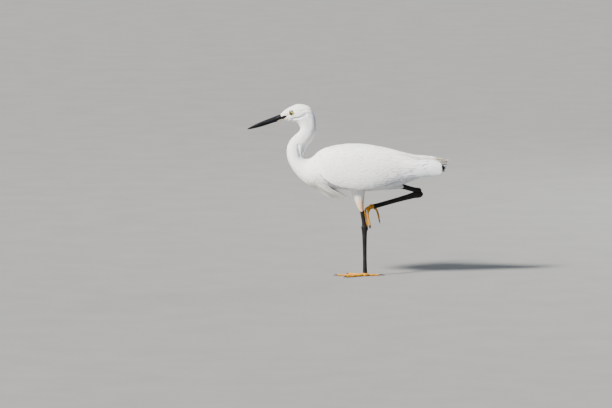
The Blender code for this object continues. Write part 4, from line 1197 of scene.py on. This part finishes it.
def mantle(finish):
    """The scapulars that fall over both wings from the back."""
    sheet = mantle_sheet()
    columns = sheet.size[1]
    draw = np.random.RandomState(61)

    def upper(points, u, v):
        angle = np.abs(v / (columns - 1) * 2 * MANTLE_TURN - MANTLE_TURN)
        places, limits = [-0.06, -0.02, 0.03, 0.09, 0.16], [0.55, 0.95, 0.95, 0.62, 0.50]
        return angle < np.interp(points[:, 0], places, limits)

    u, v = scatter(sheet, 8, SHEET_ROWS * 0.82, 0.0027, 61, upper)
    x = sheet_x(u)
    side = (v / (columns - 1) - 0.5) * 2
    long = np.interp(x, [-0.06, -0.02, 0.04, 0.09], [0.020, 0.036, 0.056, 0.066])
    half = np.interp(x, [0.08, 0.16], [1.0, 0.75])
    laid = feathers_at(
        draw, u, v, (long, (0.75, 1.15)), (half, (0.0011, 0.0022)), 0.0006, lean=0.10 * side,
        turn=0.05, bend=0.05, proud=(0.0012, 0.0020), tilt=0.00010, most=0.2055 - x,
    )
    lay_feathers("coat_mantle", sheet, laid, VANE, 0.0003, finish, 62)


def loose_plumes(finish):
    """The long loose plumes of the back, which run out over the tail in fine ends."""
    draw = np.random.RandomState(63)
    count, wing_end, furthest = 380, 0.1985, 0.2240
    start = draw.uniform(0.030, 0.155, count)
    end = furthest - 0.030 * draw.uniform(0, 1, count) ** 1.1
    angle = draw.normal(0, 0.34, count)
    rise = draw.uniform(0.0004, 0.0036, count)
    droop = draw.uniform(0.0, 0.58, count)
    routes = []
    for t in np.linspace(0, 1, 7):
        x = start + (end - start) * t
        spot = wing_oval_points(np.minimum(x, wing_end), angle * (1 - 0.25 * t))
        past = np.maximum(x - wing_end, 0)
        spot[:, 0] = x
        spot[:, 2] += rise * (0.3 + t) - 0.0008 * (1 - t) - past * (droop + 3.0 * past)
        spot[:, 1] += draw.normal(0, 0.0005, count) * t
        routes.append(spot)
    lead = routes[-1] - routes[0]
    wide = np.stack([-lead[:, 1], lead[:, 0], draw.uniform(-0.03, 0.03, count)], axis=1)
    place = np.stack([0.3 + start * 2, 0.5 + angle * 0.2], axis=1)
    half = draw.uniform(0.0006, 0.0014, count)
    hang_feathers("plumes_back", routes, wide, half, HANGING_LOCK, 0.0003, place, finish, 64)


# The closed tail's quills lie in layers: how far down, how many, how spread and how much shorter.
TAIL_LAYERS = [
    (0.0, 12, 1.0, 0.0),
    (0.0045, 9, 0.85, 0.0010),
    (0.0090, 8, 0.70, 0.0020),
    (0.0130, 6, 0.50, 0.0032),
]
TAIL_FRONT, TAIL_BACK, TAIL_HALF = 0.148, 0.2175, 0.016
TAIL_ROWS, TAIL_COLUMNS = 80, 48
QUILL_ROOT, QUILL_LENGTH, QUILL_HALF, QUILL_DEPTH = 0.156, 0.0598, 0.0042, 0.0010


def tail_quills(finish, draw):
    """The folded fan of the tail, in layers of quills."""
    x, y = np.meshgrid(
        np.linspace(TAIL_FRONT, TAIL_BACK, TAIL_ROWS),
        np.linspace(-TAIL_HALF, TAIL_HALF, TAIL_COLUMNS), indexing="ij",
    )
    height = 0.2378 + 0.0016 * ((x - 0.15) / (0.2145 - 0.15)) - 46.0 * y * y
    points = np.stack([x, y, height], axis=-1)
    sheet = Sheet(points, False, points - (0, 0, 0.05))
    parts = []
    for drop, count, open_by, shorter in TAIL_LAYERS:
        fan = np.linspace(-1, 1, count)
        root = (QUILL_ROOT - TAIL_FRONT) / (TAIL_BACK - TAIL_FRONT) * (TAIL_ROWS - 1)
        part = dict(u=np.full(count, root))
        part["v"] = (0.5 + fan * 0.13 * open_by) * (TAIL_COLUMNS - 1)
        part["turn"] = fan * 0.085 * open_by
        part["bend"] = np.zeros(count)
        long = QUILL_LENGTH - shorter - 0.0030 * np.abs(fan)
        part["length"] = long + draw.uniform(-0.0015, 0.0, count)
        part["half"] = np.full(count, QUILL_HALF)
        part["sunk"] = np.full(count, QUILL_DEPTH + drop)
        part["proud"] = 0.0012 - 0.0022 * np.abs(fan) - drop
        part["tilt"] = 0.0004 * np.sign(fan)
        parts.append(part)
    quills = lay_feathers("tail_quills", sheet, joined_parts(parts), QUILL_VANE, 0.0006, finish, 72)
    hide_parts("tail")


def tail(finish, soft):
    """The tail's quills, the soft feathers round them, and the coverts of its root."""
    draw = np.random.RandomState(71)
    tail_quills(finish, draw)
    tail_bed(soft)
    flank_bed(soft)
    trunk = trunk_sheet(False)
    u, v = scatter(trunk, row_of(28.6), row_of(32.6), 0.0019, 73)
    laid = feathers_at(
        draw, u, v, (1.0, (0.016, 0.024)), (1.0, (0.0011, 0.0021)), ROOT_DEPTH,
        turn=0.08, bend=0.05, proud=(0.0, 0.0009), tilt=0.0002,
    )
    free_coverts("tail_coverts", trunk, laid, soft, 74)


def tail_bed(finish):
    """The soft feathers above and below the tail, which fill the room between the wings."""
    draw = np.random.RandomState(76)
    count, furthest = 2900, 0.2038
    turn = draw.uniform(0, 2 * np.pi, count)
    reach = draw.uniform(0.12, 1, count) ** 0.6
    start = draw.uniform(0.148, 0.184, count)
    most = furthest - draw.uniform(0, 0.012, count)
    end = np.minimum(start + draw.uniform(0.022, 0.034, count), most)
    routes = []
    for t in (0.0, 0.3, 0.55, 0.75, 0.9, 1.0):
        x = start + (end - start) * t
        row = table_read(WING, x)
        high, low = row[:, 2] - 0.0026, row[:, 1] + 0.0008
        wide = (row[:, 4] - 0.0036) * (0.90 + 0.10 * t)
        rounded = np.sqrt(1 - np.clip((x - 0.1780) / 0.0272, 0, 1) ** 2.4)
        shrink = (0.90 + 0.10 * t) * rounded
        y = wide * rounded * reach * np.cos(turn)
        z = (high + low) / 2 + (high - low) / 2 * shrink * reach * np.sin(turn)
        routes.append(np.stack([x, y, z], axis=1))
    radial = np.stack([np.zeros(count), np.cos(turn), np.sin(turn)], axis=1)
    wide = np.cross(routes[-1] - routes[0], radial)
    place = np.stack([0.2 + start * 3, turn / 6.3], axis=1)
    half = draw.uniform(0.0007, 0.0014, count)
    hang_feathers("tail_bed", routes, wide, half, VANE, 0.0004, place, finish, 77)


def flank_bed(finish):
    """The flank's feathers, which fill the room between the body and the wings' lower edges."""
    draw = np.random.RandomState(78)
    count = 2200
    sections = np.array([(x, low, high, half) for x, low, _, high, half in TRUNK[22:]])
    side = np.where(np.arange(count) % 2 == 0, 1.0, -1.0)
    share = draw.uniform(-0.20, 1.0, count)
    layer = draw.uniform(0, 1, count) ** 1.5
    start = draw.uniform(0.040, 0.172, count)
    end = start + draw.uniform(0.018, 0.028, count)
    routes = []
    for t in (0.0, 0.35, 0.7, 1.0):
        x = start + (end - start) * t
        row = table_read(WING, x)
        z = row[:, 1] + 0.0010 + 0.0065 * layer + 0.0010 * (1 - t)
        middle, tall = crown_and_keel(row)
        outer = row[:, 4] * (1 - np.abs((z - middle) / tall) ** WING_OVAL) ** (1 / WING_OVAL)
        low, high, wide = table_read(sections, np.minimum(x, sections[-1, 0])).T
        lift = np.clip(np.abs(2 * z - low - high) / (high - low), 0, 1)
        inner = wide * (1 - lift**TRUNK_OVAL) ** (1 / TRUNK_OVAL)
        y = side * (inner + (outer - ROOT_DEPTH - inner) * share)
        routes.append(np.stack([x, y, z], axis=1))
    tipped = side * draw.uniform(-0.1, 0.6, count)
    wide = np.stack([np.zeros(count), np.ones(count), tipped], axis=1)
    place = np.stack([0.25 + start * 3, 0.5 + side * (0.1 + 0.3 * np.abs(share))], axis=1)
    half = draw.uniform(0.0009, 0.0017, count)
    hang_feathers("flank_bed", routes, wide, half, VANE, 0.0004, place, finish, 79)


# Four guides of the breast's skirt of plumes, from its lower outline to its upper edge, each
# as (x, z) from root to tip.
SKIRT = [
    [(-0.1090, 0.2213), (-0.0860, 0.2004), (-0.0640, 0.1868), (-0.0505, 0.1768), (-0.0400, 0.1712)],
    [(-0.0850, 0.2040), (-0.0680, 0.1935), (-0.0520, 0.1835), (-0.0370, 0.1735), (-0.0215, 0.1648)],
    [(-0.0700, 0.2100), (-0.0540, 0.1960), (-0.0370, 0.1840), (-0.0180, 0.1735), (0.0065, 0.1632)],
    [(-0.0575, 0.2155), (-0.0430, 0.2000), (-0.0310, 0.1880), (-0.0140, 0.1792), (0.0090, 0.1682)],
]


def breast_plumes(sheet, finish):
    """The long narrow plumes of the lower foreneck: a skirt that streams back from the breast."""
    draw = np.random.RandomState(81)
    flat = sheet.points[int(row_of(15.5)) : int(row_of(22.5))].reshape(-1, 3)
    guides = np.array(SKIRT).transpose(1, 0, 2).reshape(5, 8)
    locks, each = 14, 26
    middles = 3.0 * (np.arange(locks) + 0.5 + draw.uniform(-0.25, 0.25, locks)) / locks
    reaches = np.where(np.arange(locks) % 2 == 0, 1.0, 0.84) * draw.uniform(0.95, 1.0, locks)
    routes, halves = [], []
    for k in range(locks * each):
        lock = k // each
        side = (-1.0, 1.0)[k % 2]
        loose = k % 9 == 4
        stray = draw.normal(0, 0.20 if loose else 0.060)
        reach = reaches[lock] * (draw.uniform(0.60, 1.0) if loose else draw.uniform(0.82, 1.0))
        gather = draw.uniform(0.0, 0.95)
        drift = draw.normal(0, 0.0016 if loose else 0.0004)
        path = []
        for t in np.linspace(0, reach, 6):
            line = smooth_read(guides, t * 4).reshape(4, 2)
            x, z = smooth_read(line, middles[lock] + stray * (1.0 if loose else 1 - 0.80 * t**0.6))
            near = np.hypot(flat[:, 0] - x, flat[:, 2] - z) + np.where(flat[:, 1] * side > 0, 0, 1)
            found = near.argmin()
            out = abs(flat[found, 1])
            if not path:
                root = max(out * draw.uniform(0.90, 0.99), 0.0015)
                z -= 0.0004
            inward = root * (1 - 0.62 * t**1.3) * (1 - gather * t)
            y = max(inward, out + 0.0010) if near[found] < 0.002 else inward
            path.append((x + drift * t, side * (y if path else root), z + 1.3 * drift * t))
        routes.append(path)
        halves.append(draw.uniform(0.0003, 0.0006) if loose else draw.uniform(0.0005, 0.0010))
    steps = list(np.array(routes).transpose(1, 0, 2))
    root, lead = steps[0], steps[-1] - steps[0]
    wide = np.stack([-lead[:, 2], np.zeros(len(lead)), lead[:, 0]], axis=1)
    wide /= np.linalg.norm(wide, axis=1, keepdims=True)
    wide[:, 1] = draw.uniform(-0.8, 0.8, len(lead))
    place = np.stack([0.55 + (root[:, 0] + 0.1) * 2, (0.5 + root[:, 1] * 4) % 1.0], axis=1)
    shape = np.array(halves), HANGING_LOCK, 0.0003
    hang_feathers("plumes_breast", steps, wide, *shape, place, finish, 82)


def thigh_coat(side, finish):
    """The thigh's tufts, and a fringe of free ones at its end, which they don't run past."""
    rows, longest = 80, 0.013
    sheet = Sheet(thigh_rings(side, rows, 48, 0.0), True)
    name, seed = "coat_thigh_" + side, 90 + WING_SEED[side]
    draw = np.random.RandomState(seed)
    u, v = scatter(sheet, 3, rows - 1.5, 0.00086, seed)
    share = u / (rows - 1)
    long = np.interp(share, [0, 0.6, 1], [longest, 0.009, 0.005])
    half = np.interp(share, [0, 1], [0.00066, 0.00042])
    laid = feathers_at(
        draw, u, v, (long, (0.8, 1.2)), (half, (0.8, 1.2)), 0.0010,
        turn=0.14, bend=0.12, proud=(0.0, 0.0004), tilt=0.0001,
    )
    laid["length"] = np.minimum(laid["length"], longest)
    left = (rows - 1.2 - u) * sheet.read(sheet.stretch_u, u, v)
    near = laid["length"] > left + 0.0005
    kept = {key: value[~near] for key, value in laid.items()}
    last = {key: value[near] for key, value in laid.items()}
    lay_feathers(name, sheet, kept, DOWN_TUFT, 0.00018, finish, seed)
    free_coverts(name + "_fringe", sheet, last, finish, seed + 5)


# The bill: share of its length, height of the upper half, depth of the lower, half width.
BILL_TABLE = [
    (0.00, 0.0070, 0.0066, 0.0056),
    (0.10, 0.0067, 0.0058, 0.0050),
    (0.30, 0.0061, 0.0050, 0.0043),
    (0.52, 0.0055, 0.0047, 0.0036),
    (0.72, 0.0044, 0.0038, 0.0027),
    (0.88, 0.0025, 0.0023, 0.0017),
    (0.97, 0.0011, 0.0009, 0.0008),
    (1.00, 0.0003, 0.0003, 0.0003),
]


NOSTRIL_PLACE, NOSTRIL_HEIGHT = 0.165, 0.0032  # as a share of the bill and in metres above its edge


def dip(value, middle, width):
    return np.exp(-(((value - middle) / width) ** 2))


def bill_half(upper, finish):
    """One half of the bill: keeled, grooved from the nostril on, with a thin cutting edge."""
    shares = np.linspace(-0.03, 0.34, 66, endpoint=False), np.linspace(0.34, 0.995, 54)
    shares = np.concatenate(shares)
    row = table_read(BILL_TABLE, np.clip(shares, 0, 1))
    tall, wide = row[:, 0] if upper else row[:, 1], row[:, 2]
    sign, base = (1.0, 0.00012) if upper else (-1.0, 0.00022)
    arc = np.linspace(0, np.pi, 29)
    height = np.sin(arc) ** 0.80
    out = np.sign(np.cos(arc)) * np.abs(np.cos(arc)) ** 0.92
    up, along = np.array(BILL_UP), np.array(BILL_ALONG)
    length = (BILL_TIP - BILL_BASE).length
    rings = []
    for k, share in enumerate(shares):
        h, y = tall[k] * height, wide[k] * out
        if upper:
            run = np.clip((share - 0.06) / 0.05, 0, 1) * np.clip((0.62 - share) / 0.3, 0, 1)
            press = dip(share, NOSTRIL_PLACE, 0.030) * 0.0011 * dip(h, NOSTRIL_HEIGHT, 0.00055)
            press += 0.00042 * run * dip(h, 0.50 * tall[k], 0.0009)
            rise = base + h - dip(h, 0.0, 0.0006) * 0.00030
        else:
            run = np.clip((share - 0.02) / 0.1, 0, 1) * np.clip((0.70 - share) / 0.3, 0, 1)
            press = 0.00022 * run * dip(h, 0.55 * tall[k], 0.0008)
            rise = -(base + h)
        y = np.sign(y) * np.maximum(np.abs(y) - press, 0.0)
        centre = np.array(BILL_BASE) + along * (length * share)
        ring = [centre + up * rise[j] + (0, y[j], 0) for j in range(len(arc))]
        for s in np.linspace(-1, 1, 9)[1:-1]:
            ring.append(centre + up * sign * (base + 0.0002) + (0, wide[k] * 0.93 * s, 0))
        rings.append(np.array(ring))
    half = "bill_upper" if upper else "bill_lower"
    drawn_out(half + "_horn", rings, finish, 50.0, half)


def face_side(sheet, x, z, side, lift):
    """The point of the face's side at an X and Z, a little way off the skin."""
    points, normal = sheet.points[: int(row_of(8))], sheet.normal[: int(row_of(8))]
    half = points[..., 1] * SIDES[side] > 0
    gap = np.hypot(points[..., 0] - x, points[..., 2] - z) + np.where(half, 0, 1)
    i, j = np.unravel_index(gap.argmin(), gap.shape)
    return np.array([x, points[i, j, 1], z]) + normal[i, j] * lift


# The black corner of the mouth on the cheek: x, z, half height and half thickness.
GAPE = [
    (-0.1408, 0.3411, 0.0027, 0.0007),
    (-0.1380, 0.3424, 0.0031, 0.0006),
    (-0.1350, 0.3437, 0.0028, 0.0005),
    (-0.1315, 0.3451, 0.0020, 0.00045),
    (-0.1282, 0.3464, 0.0005, 0.0002),
]


def gape(sheet, side, finish):
    """The black corner of the mouth, narrowing back over the cheek to a point."""
    path = [face_side(sheet, x, z, side, -0.0003) for x, z, _, _ in GAPE]
    path[0][1] -= SIDES[side] * 0.0007
    path.insert(0, np.array([-0.1470, SIDES[side] * 0.0036, 0.3388]))
    heights = [0.0012] + [row[2] for row in GAPE]
    widths = [0.0006] + [row[3] for row in GAPE]
    drawn_out("gape_" + side, limb_rings(path, heights, widths, 36, 20), finish)


def eye(side, finish):
    bpy.ops.mesh.primitive_uv_sphere_add(
        segments=64, ring_count=40, radius=EYE_RADIUS, location=EYE[side],
        rotation=(math.radians(90), 0, 0),
    )
    ball = bpy.context.object
    ball.name = "eyeball_" + side
    finished(ball, finish, 80.0)
    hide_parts("eye_" + side)


# The lid from inside out: distance from the eye's middle, height, and whether this is over the
# skin of the face or over the eye's middle plane.
LID_PROFILE = [
    (0.00360, 0.0030, False),
    (0.00372, 0.0037, False),
    (0.00400, 0.0040, False),
    (0.00440, 0.0039, False),
    (0.00480, 0.00060, True),
    (0.00520, 0.00045, True),
    (0.00560, 0.00052, True),
    (0.00610, 0.00020, True),
    (0.00650, -0.0004, True),
    (0.00480, 0.0005, False),
    (0.00400, 0.0015, False),
]


def eyelids(sheet, side, finish):
    """The lids: a rolled rim round the eye, drawn to a corner in front and behind."""
    points, faces = [], []
    turns, count = 72, len(LID_PROFILE)
    for i in range(turns):
        angle = 2 * math.pi * i / turns
        c, s = math.cos(angle), math.sin(angle)
        corner = 1 + 0.16 * max(-c, 0) ** 6 + 0.09 * max(c, 0) ** 8
        out = np.array([c * corner, 0, s * (0.88 if s > 0 else 0.86)])
        for k, (reach, lift, over_skin) in enumerate(LID_PROFILE):
            wave = 0.00008 * math.sin(9 * angle + 3 * k) if 3 < k < 7 else 0.0
            spot = np.array(EYE[side]) + out * reach
            plane = face_side(sheet, spot[0], spot[2], side, 0.0) if over_skin else EYE[side]
            spot[1] = plane[1] + SIDES[side] * (lift + wave)
            points.append(spot)
            here, next_ring = i * count, (i + 1) % turns * count
            after = (k + 1) % count
            faces.append((here + k, here + after, next_ring + after, next_ring + k))
    mesh_object("eyelids_" + side, points, faces, finish)


# Each leg's ankle and palm, how much stouter it is than a plain shank, how far the shank's
# ends lie off these, and the toes of the standing foot: turn in degrees, length, claw's length.
ANKLES = {"left": (0.0380, -0.0130, 0.1070), "right": (0.1560, 0.0210, 0.1808)}
STOUT = {"left": 1.10, "right": 1.34}
PALMS = {"left": (0.0390, -0.0065, 0.0028), "right": (0.0540, 0.0150, 0.1480)}
ANKLE_SHIFT = {"left": (-0.0004, 0.0, 0.0), "right": (0.0004, 0.0, -0.0055)}
FOOT_SHIFT = {"left": (0.0, 0.0, 0.0), "right": (0.0003, 0.0, -0.0011)}
TOES = {
    "inner": (40.0, 0.045, 0.008),
    "middle": (2.0, 0.060, 0.009),
    "outer": (-36.0, 0.050, 0.008),
    "hind": (172.0, 0.031, 0.012),
}
# The lifted foot's toes, from the root to the claw's tip.
HANGING_TOES = {
    "inner": [
        (0.0540, 0.0130, 0.1480), (0.0478, 0.0110, 0.1410), (0.0450, 0.0090, 0.1300),
        (0.0475, 0.0075, 0.1180), (0.0500, 0.0070, 0.1080), (0.0518, 0.0070, 0.1010),
    ],
    "middle": [
        (0.0520, 0.0155, 0.1475), (0.0415, 0.0165, 0.1430), (0.0390, 0.0175, 0.1300),
        (0.0412, 0.0180, 0.1160), (0.0440, 0.0180, 0.1035), (0.0450, 0.0180, 0.0950),
    ],
    "outer": [
        (0.0540, 0.0180, 0.1480), (0.0470, 0.0235, 0.1410), (0.0440, 0.0270, 0.1290),
        (0.0455, 0.0285, 0.1165), (0.0480, 0.0290, 0.1060), (0.0492, 0.0290, 0.0985),
    ],
    "hind": [
        (0.0560, 0.0150, 0.1480), (0.0640, 0.0150, 0.1400), (0.0678, 0.0145, 0.1290),
        (0.0694, 0.0140, 0.1200), (0.0716, 0.0138, 0.1105),
    ],
}


def scutes(count, height, front):
    """Overlapping scales down the front of a shank: a step out at each scale's lower end."""

    def relief(t, angle):
        step = (t * count) % 1.0
        face = np.clip(np.cos(angle) * (1.0 if front else -1.0), 0, 1) ** 0.6
        cells = 0.5 + 0.5 * np.sin(t * count * 2 * np.pi) * np.sin(angle * 7)
        return height * (face * (step**2 - 0.3) + (1 - face) * (cells - 0.5) * 0.8)

    return relief


def leg(side, finish):
    """The bare shin below the thigh, and the shank down to the foot."""
    before, end = (np.array(row[:3]) for row in THIGHS[side][-2:])
    lead = (end - before) / np.linalg.norm(end - before)
    ankle, shift = np.array(ANKLES[side]), np.array(ANKLE_SHIFT[side])
    stout = STOUT[side]
    start, second = end - lead * 0.004, end + lead * 0.003
    path = [start, second] + [second + (ankle - second) * k for k in (0.35, 0.70, 0.92, 1.03, 1.12)]
    depths = np.array([0.0040, 0.0041, 0.0038, 0.0040, 0.0049, 0.0046, 0.0020]) * stout
    widths = np.array([0.0032, 0.0032, 0.0030, 0.0031, 0.0039, 0.0036, 0.0018]) * stout**0.5
    rings = limb_rings(path, depths, widths, 90, 28, relief=scutes(13, 0.00022, side == "right"))
    drawn_out("bare_shin_" + side, rings, finish, 50.0, "shin_" + side)

    foot = np.array(PALMS[side]) + np.array(FOOT_SHIFT[side])
    top = ankle + shift
    down = (foot - top) / np.linalg.norm(foot - top)
    path = [top - down * 0.0052 - shift * 0.45, top]
    path += [top + (foot - top) * k for k in (0.12, 0.3, 0.5, 0.7, 0.88, 0.97)]
    depths = np.array([0.0030, 0.0062, 0.0050, 0.0042, 0.0038, 0.0037, 0.0042, 0.0050])
    widths = np.array([0.0024, 0.0045, 0.0036, 0.0029, 0.0026, 0.0026, 0.0034, 0.0044]) * stout**0.5
    depths = depths * (1 + (stout - 1) * np.array([1.0, 1.0, 1.0, 1.0, 1.0, 1.0, 0.6, 0.3]))
    rings = limb_rings(path, depths, widths, 150, 28, relief=scutes(34, 0.00026, side == "left"))
    drawn_out("shank_" + side, rings, finish, 50.0, "tarsus_" + side)


def palm(side, finish):
    """The knuckle that the toes grow from."""
    bpy.ops.mesh.primitive_uv_sphere_add(segments=40, ring_count=24, radius=1.0)
    ball = bpy.context.object
    ball.name = "palm_" + side
    sizes = (0.0078, 0.0072, 0.0050) if side == "left" else (0.0068, 0.0062, 0.0052)
    for vert in ball.data.vertices:
        x, y, z = vert.co
        swell = 1 + 0.05 * math.sin(7 * math.atan2(y, x)) * (1 - z * z)
        scale = 1 + 0.022 * math.sin(23 * x + 5 * z) * math.sin(21 * y) + 0.015 * math.sin(31 * z)
        place = [c * s * swell * scale for c, s in zip((x, y, z), sizes)]
        vert.co = Vector(place) + Vector(PALMS[side])
        if side == "left":
            vert.co.z = max(vert.co.z, 0.0)
    finished(ball, finish, 60.0)
    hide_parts("foot_" + side)


def toe_relief(length):
    pads = max(round(length / 0.0042), 4)

    def relief(t, angle):
        top = np.clip(-np.cos(angle), 0, 1) ** 0.7
        sole = np.clip(np.cos(angle), 0, 1)
        step = (t * pads * 1.6) % 1.0
        return 0.00022 * top * (step**2 - 0.3) + 0.00016 * sole * np.sin(t * pads * 2 * np.pi)

    return relief


TOE_SIZES = [0.0034, 0.0027, 0.0024, 0.0022, 0.0023, 0.0019, 0.0020, 0.0016]
CLAW_SIZES = [0.0013, 0.0014, 0.0012, 0.0008, 0.0003]


def digit(name, path, claw_path, across, finish, horn, standing):
    """A toe with its scales and pads, and the claw that it ends in."""
    path = np.array(path)
    length = np.linalg.norm(np.diff(path, axis=0), axis=1).sum()
    toe = limb_rings(path, TOE_SIZES, TOE_SIZES, 90, 20, across, toe_relief(length))
    thin = [0.8 * size for size in CLAW_SIZES]
    claw = limb_rings(claw_path, CLAW_SIZES, thin, 28, 16, across)
    if standing:
        for rings in (toe, claw):
            rings[..., 2] = np.maximum(rings[..., 2], 0.0)
    drawn_out("digit_" + name, toe, finish, 50.0, "toe_" + name)
    drawn_out("nail_" + name, claw, horn, 60.0, "claw_" + name)


def feet(finish, horn):
    """Both feet: the left one flat on the floor, the right one hanging half closed."""
    palm("left", finish)
    palm("right", finish)
    middle = np.array([*PALMS["left"][:2], 0.0])
    for name, (degrees, length, claw_length) in TOES.items():
        turn = math.radians(degrees)
        ahead = np.array([-math.cos(turn), math.sin(turn), 0.0])
        path = [middle + ahead * (0.004 + (length - 0.004) * t) for t in np.linspace(0, 1, 9)]
        for k, spot in enumerate(path):
            spot[2] = 0.0022 - 0.0005 * k / 8 + 0.0004 * math.sin(k * 1.9)
        claw = [path[-1] + ahead * (claw_length * t - 0.001) for t in np.linspace(0, 1.1, 5)]
        for k, spot in enumerate(claw):
            spot[2] = 0.0019 + 0.0006 * math.sin(k / 4 * math.pi) - 0.0016 * (k / 4) ** 2
        across = tuple(np.cross(ahead, (0, 0, 1)))
        digit("left_" + name, path, claw, across, finish, horn, True)
    for name, route in HANGING_TOES.items():
        whole = path_points(route, 61)
        joint = round(60 * (len(route) - 2) / (len(route) - 1))
        toe, claw = whole[: joint + 1 : 4], whole[joint - 2 :: 2]
        digit("right_" + name, toe, claw, (0.0, 1.0, 0.0), finish, horn, False)


# The studio's lights: name, kind, place, size in metres or spread in degrees, power, colour.
LIGHTS = [
    ("key", "SUN", (-1.75, -1.30, 2.0), 10.0, 15.0, (1.0, 0.965, 0.91)),
    ("front", "AREA", (-1.9, -1.9, 0.22), 1.0, 14.0, (1.0, 0.98, 0.95)),
    ("back", "AREA", (1.6, 1.9, 1.3), 1.0, 36.0, (0.88, 0.94, 1.0)),
]
LIGHTS_AIM = Vector((0.0, 0.0, 0.20))
CAMERA_AIM = Vector((-0.088, 0.0, 0.155))
CAMERA_AWAY, CAMERA_RISE, CAMERA_LENS = 14.0, math.radians(6.0), 383.0


def aimed(name, data, place, aim):
    """A light or camera in its place, turned to look at a point."""
    holder = bpy.data.objects.new(name, data)
    bpy.context.scene.collection.objects.link(holder)
    holder.location = place
    holder.rotation_euler = (aim - holder.location).to_track_quat("-Z", "Y").to_euler()
    return holder


def studio():
    """A plain pale floor, soft studio light and the camera at the photograph's angle."""
    bpy.ops.mesh.primitive_plane_add(size=60.0, location=(0, 0, -0.0002))
    floor = bpy.context.object
    floor.name = "floor"
    floor.data.materials.append(floor_finish())
    world = bpy.data.worlds.new("studio_air")
    world.use_nodes = True
    world.node_tree.nodes["Background"].inputs["Color"].default_value = (0.58, 0.65, 0.76, 1.0)
    world.node_tree.nodes["Background"].inputs["Strength"].default_value = 0.46
    bpy.context.scene.world = world
    for name, kind, place, size, power, colour in LIGHTS:
        lamp = bpy.data.lights.new(name, kind)
        if kind == "SUN":
            lamp.angle = math.radians(size)
        else:
            lamp.shape = "DISK"
            lamp.size = size
        lamp.energy = power
        lamp.color = colour
        aimed(name, lamp, place, LIGHTS_AIM)
    camera = bpy.data.cameras.new("camera")
    camera.lens = CAMERA_LENS
    camera.sensor_width = 36.0
    camera.clip_end = 100.0
    away = Vector((0.0, -math.cos(CAMERA_RISE), math.sin(CAMERA_RISE)))
    place = CAMERA_AIM + CAMERA_AWAY * away
    bpy.context.scene.camera = aimed("camera", camera, place, CAMERA_AIM)


def main():
    coat = plumage_finish("plumage_soft", 36.0, 3.0)
    quill = plumage_finish("plumage_quill", 300.0, 14.0)
    tan = dict(end_tint=(0.25, 0.20, 0.13), end_near=0.180, end_far=0.197)
    dark = dict(end_tint=(0.022, 0.021, 0.026), end_near=0.2030, end_far=0.2060)
    skin, lids, shank = skin_finish(), lid_finish(), leg_finish()
    upper, lower = bill_finish(False), bill_finish(True)
    sheet = trunk_sheet()
    make_skin(skin)
    body_coat(sheet, coat)
    for side in SIDES:
        folded_wing(side, quill, skin)
        wing_front(side, coat)
        thigh_coat(side, coat)
    mantle(coat)
    loose_plumes(plumage_finish("plumage_loose", 200.0, 4.0, **tan))
    tail(plumage_finish("plumage_tail", 200.0, 14.0, **dark), coat)
    breast_plumes(sheet, coat)
    bill_half(True, upper)
    bill_half(False, lower)
    for side in SIDES:
        gape(sheet, side, upper)
        eye(side, eye_finish(side))
        eyelids(sheet, side, lids)
        leg(side, shank)
    feet(toe_finish(), claw_finish())
    studio()


main()
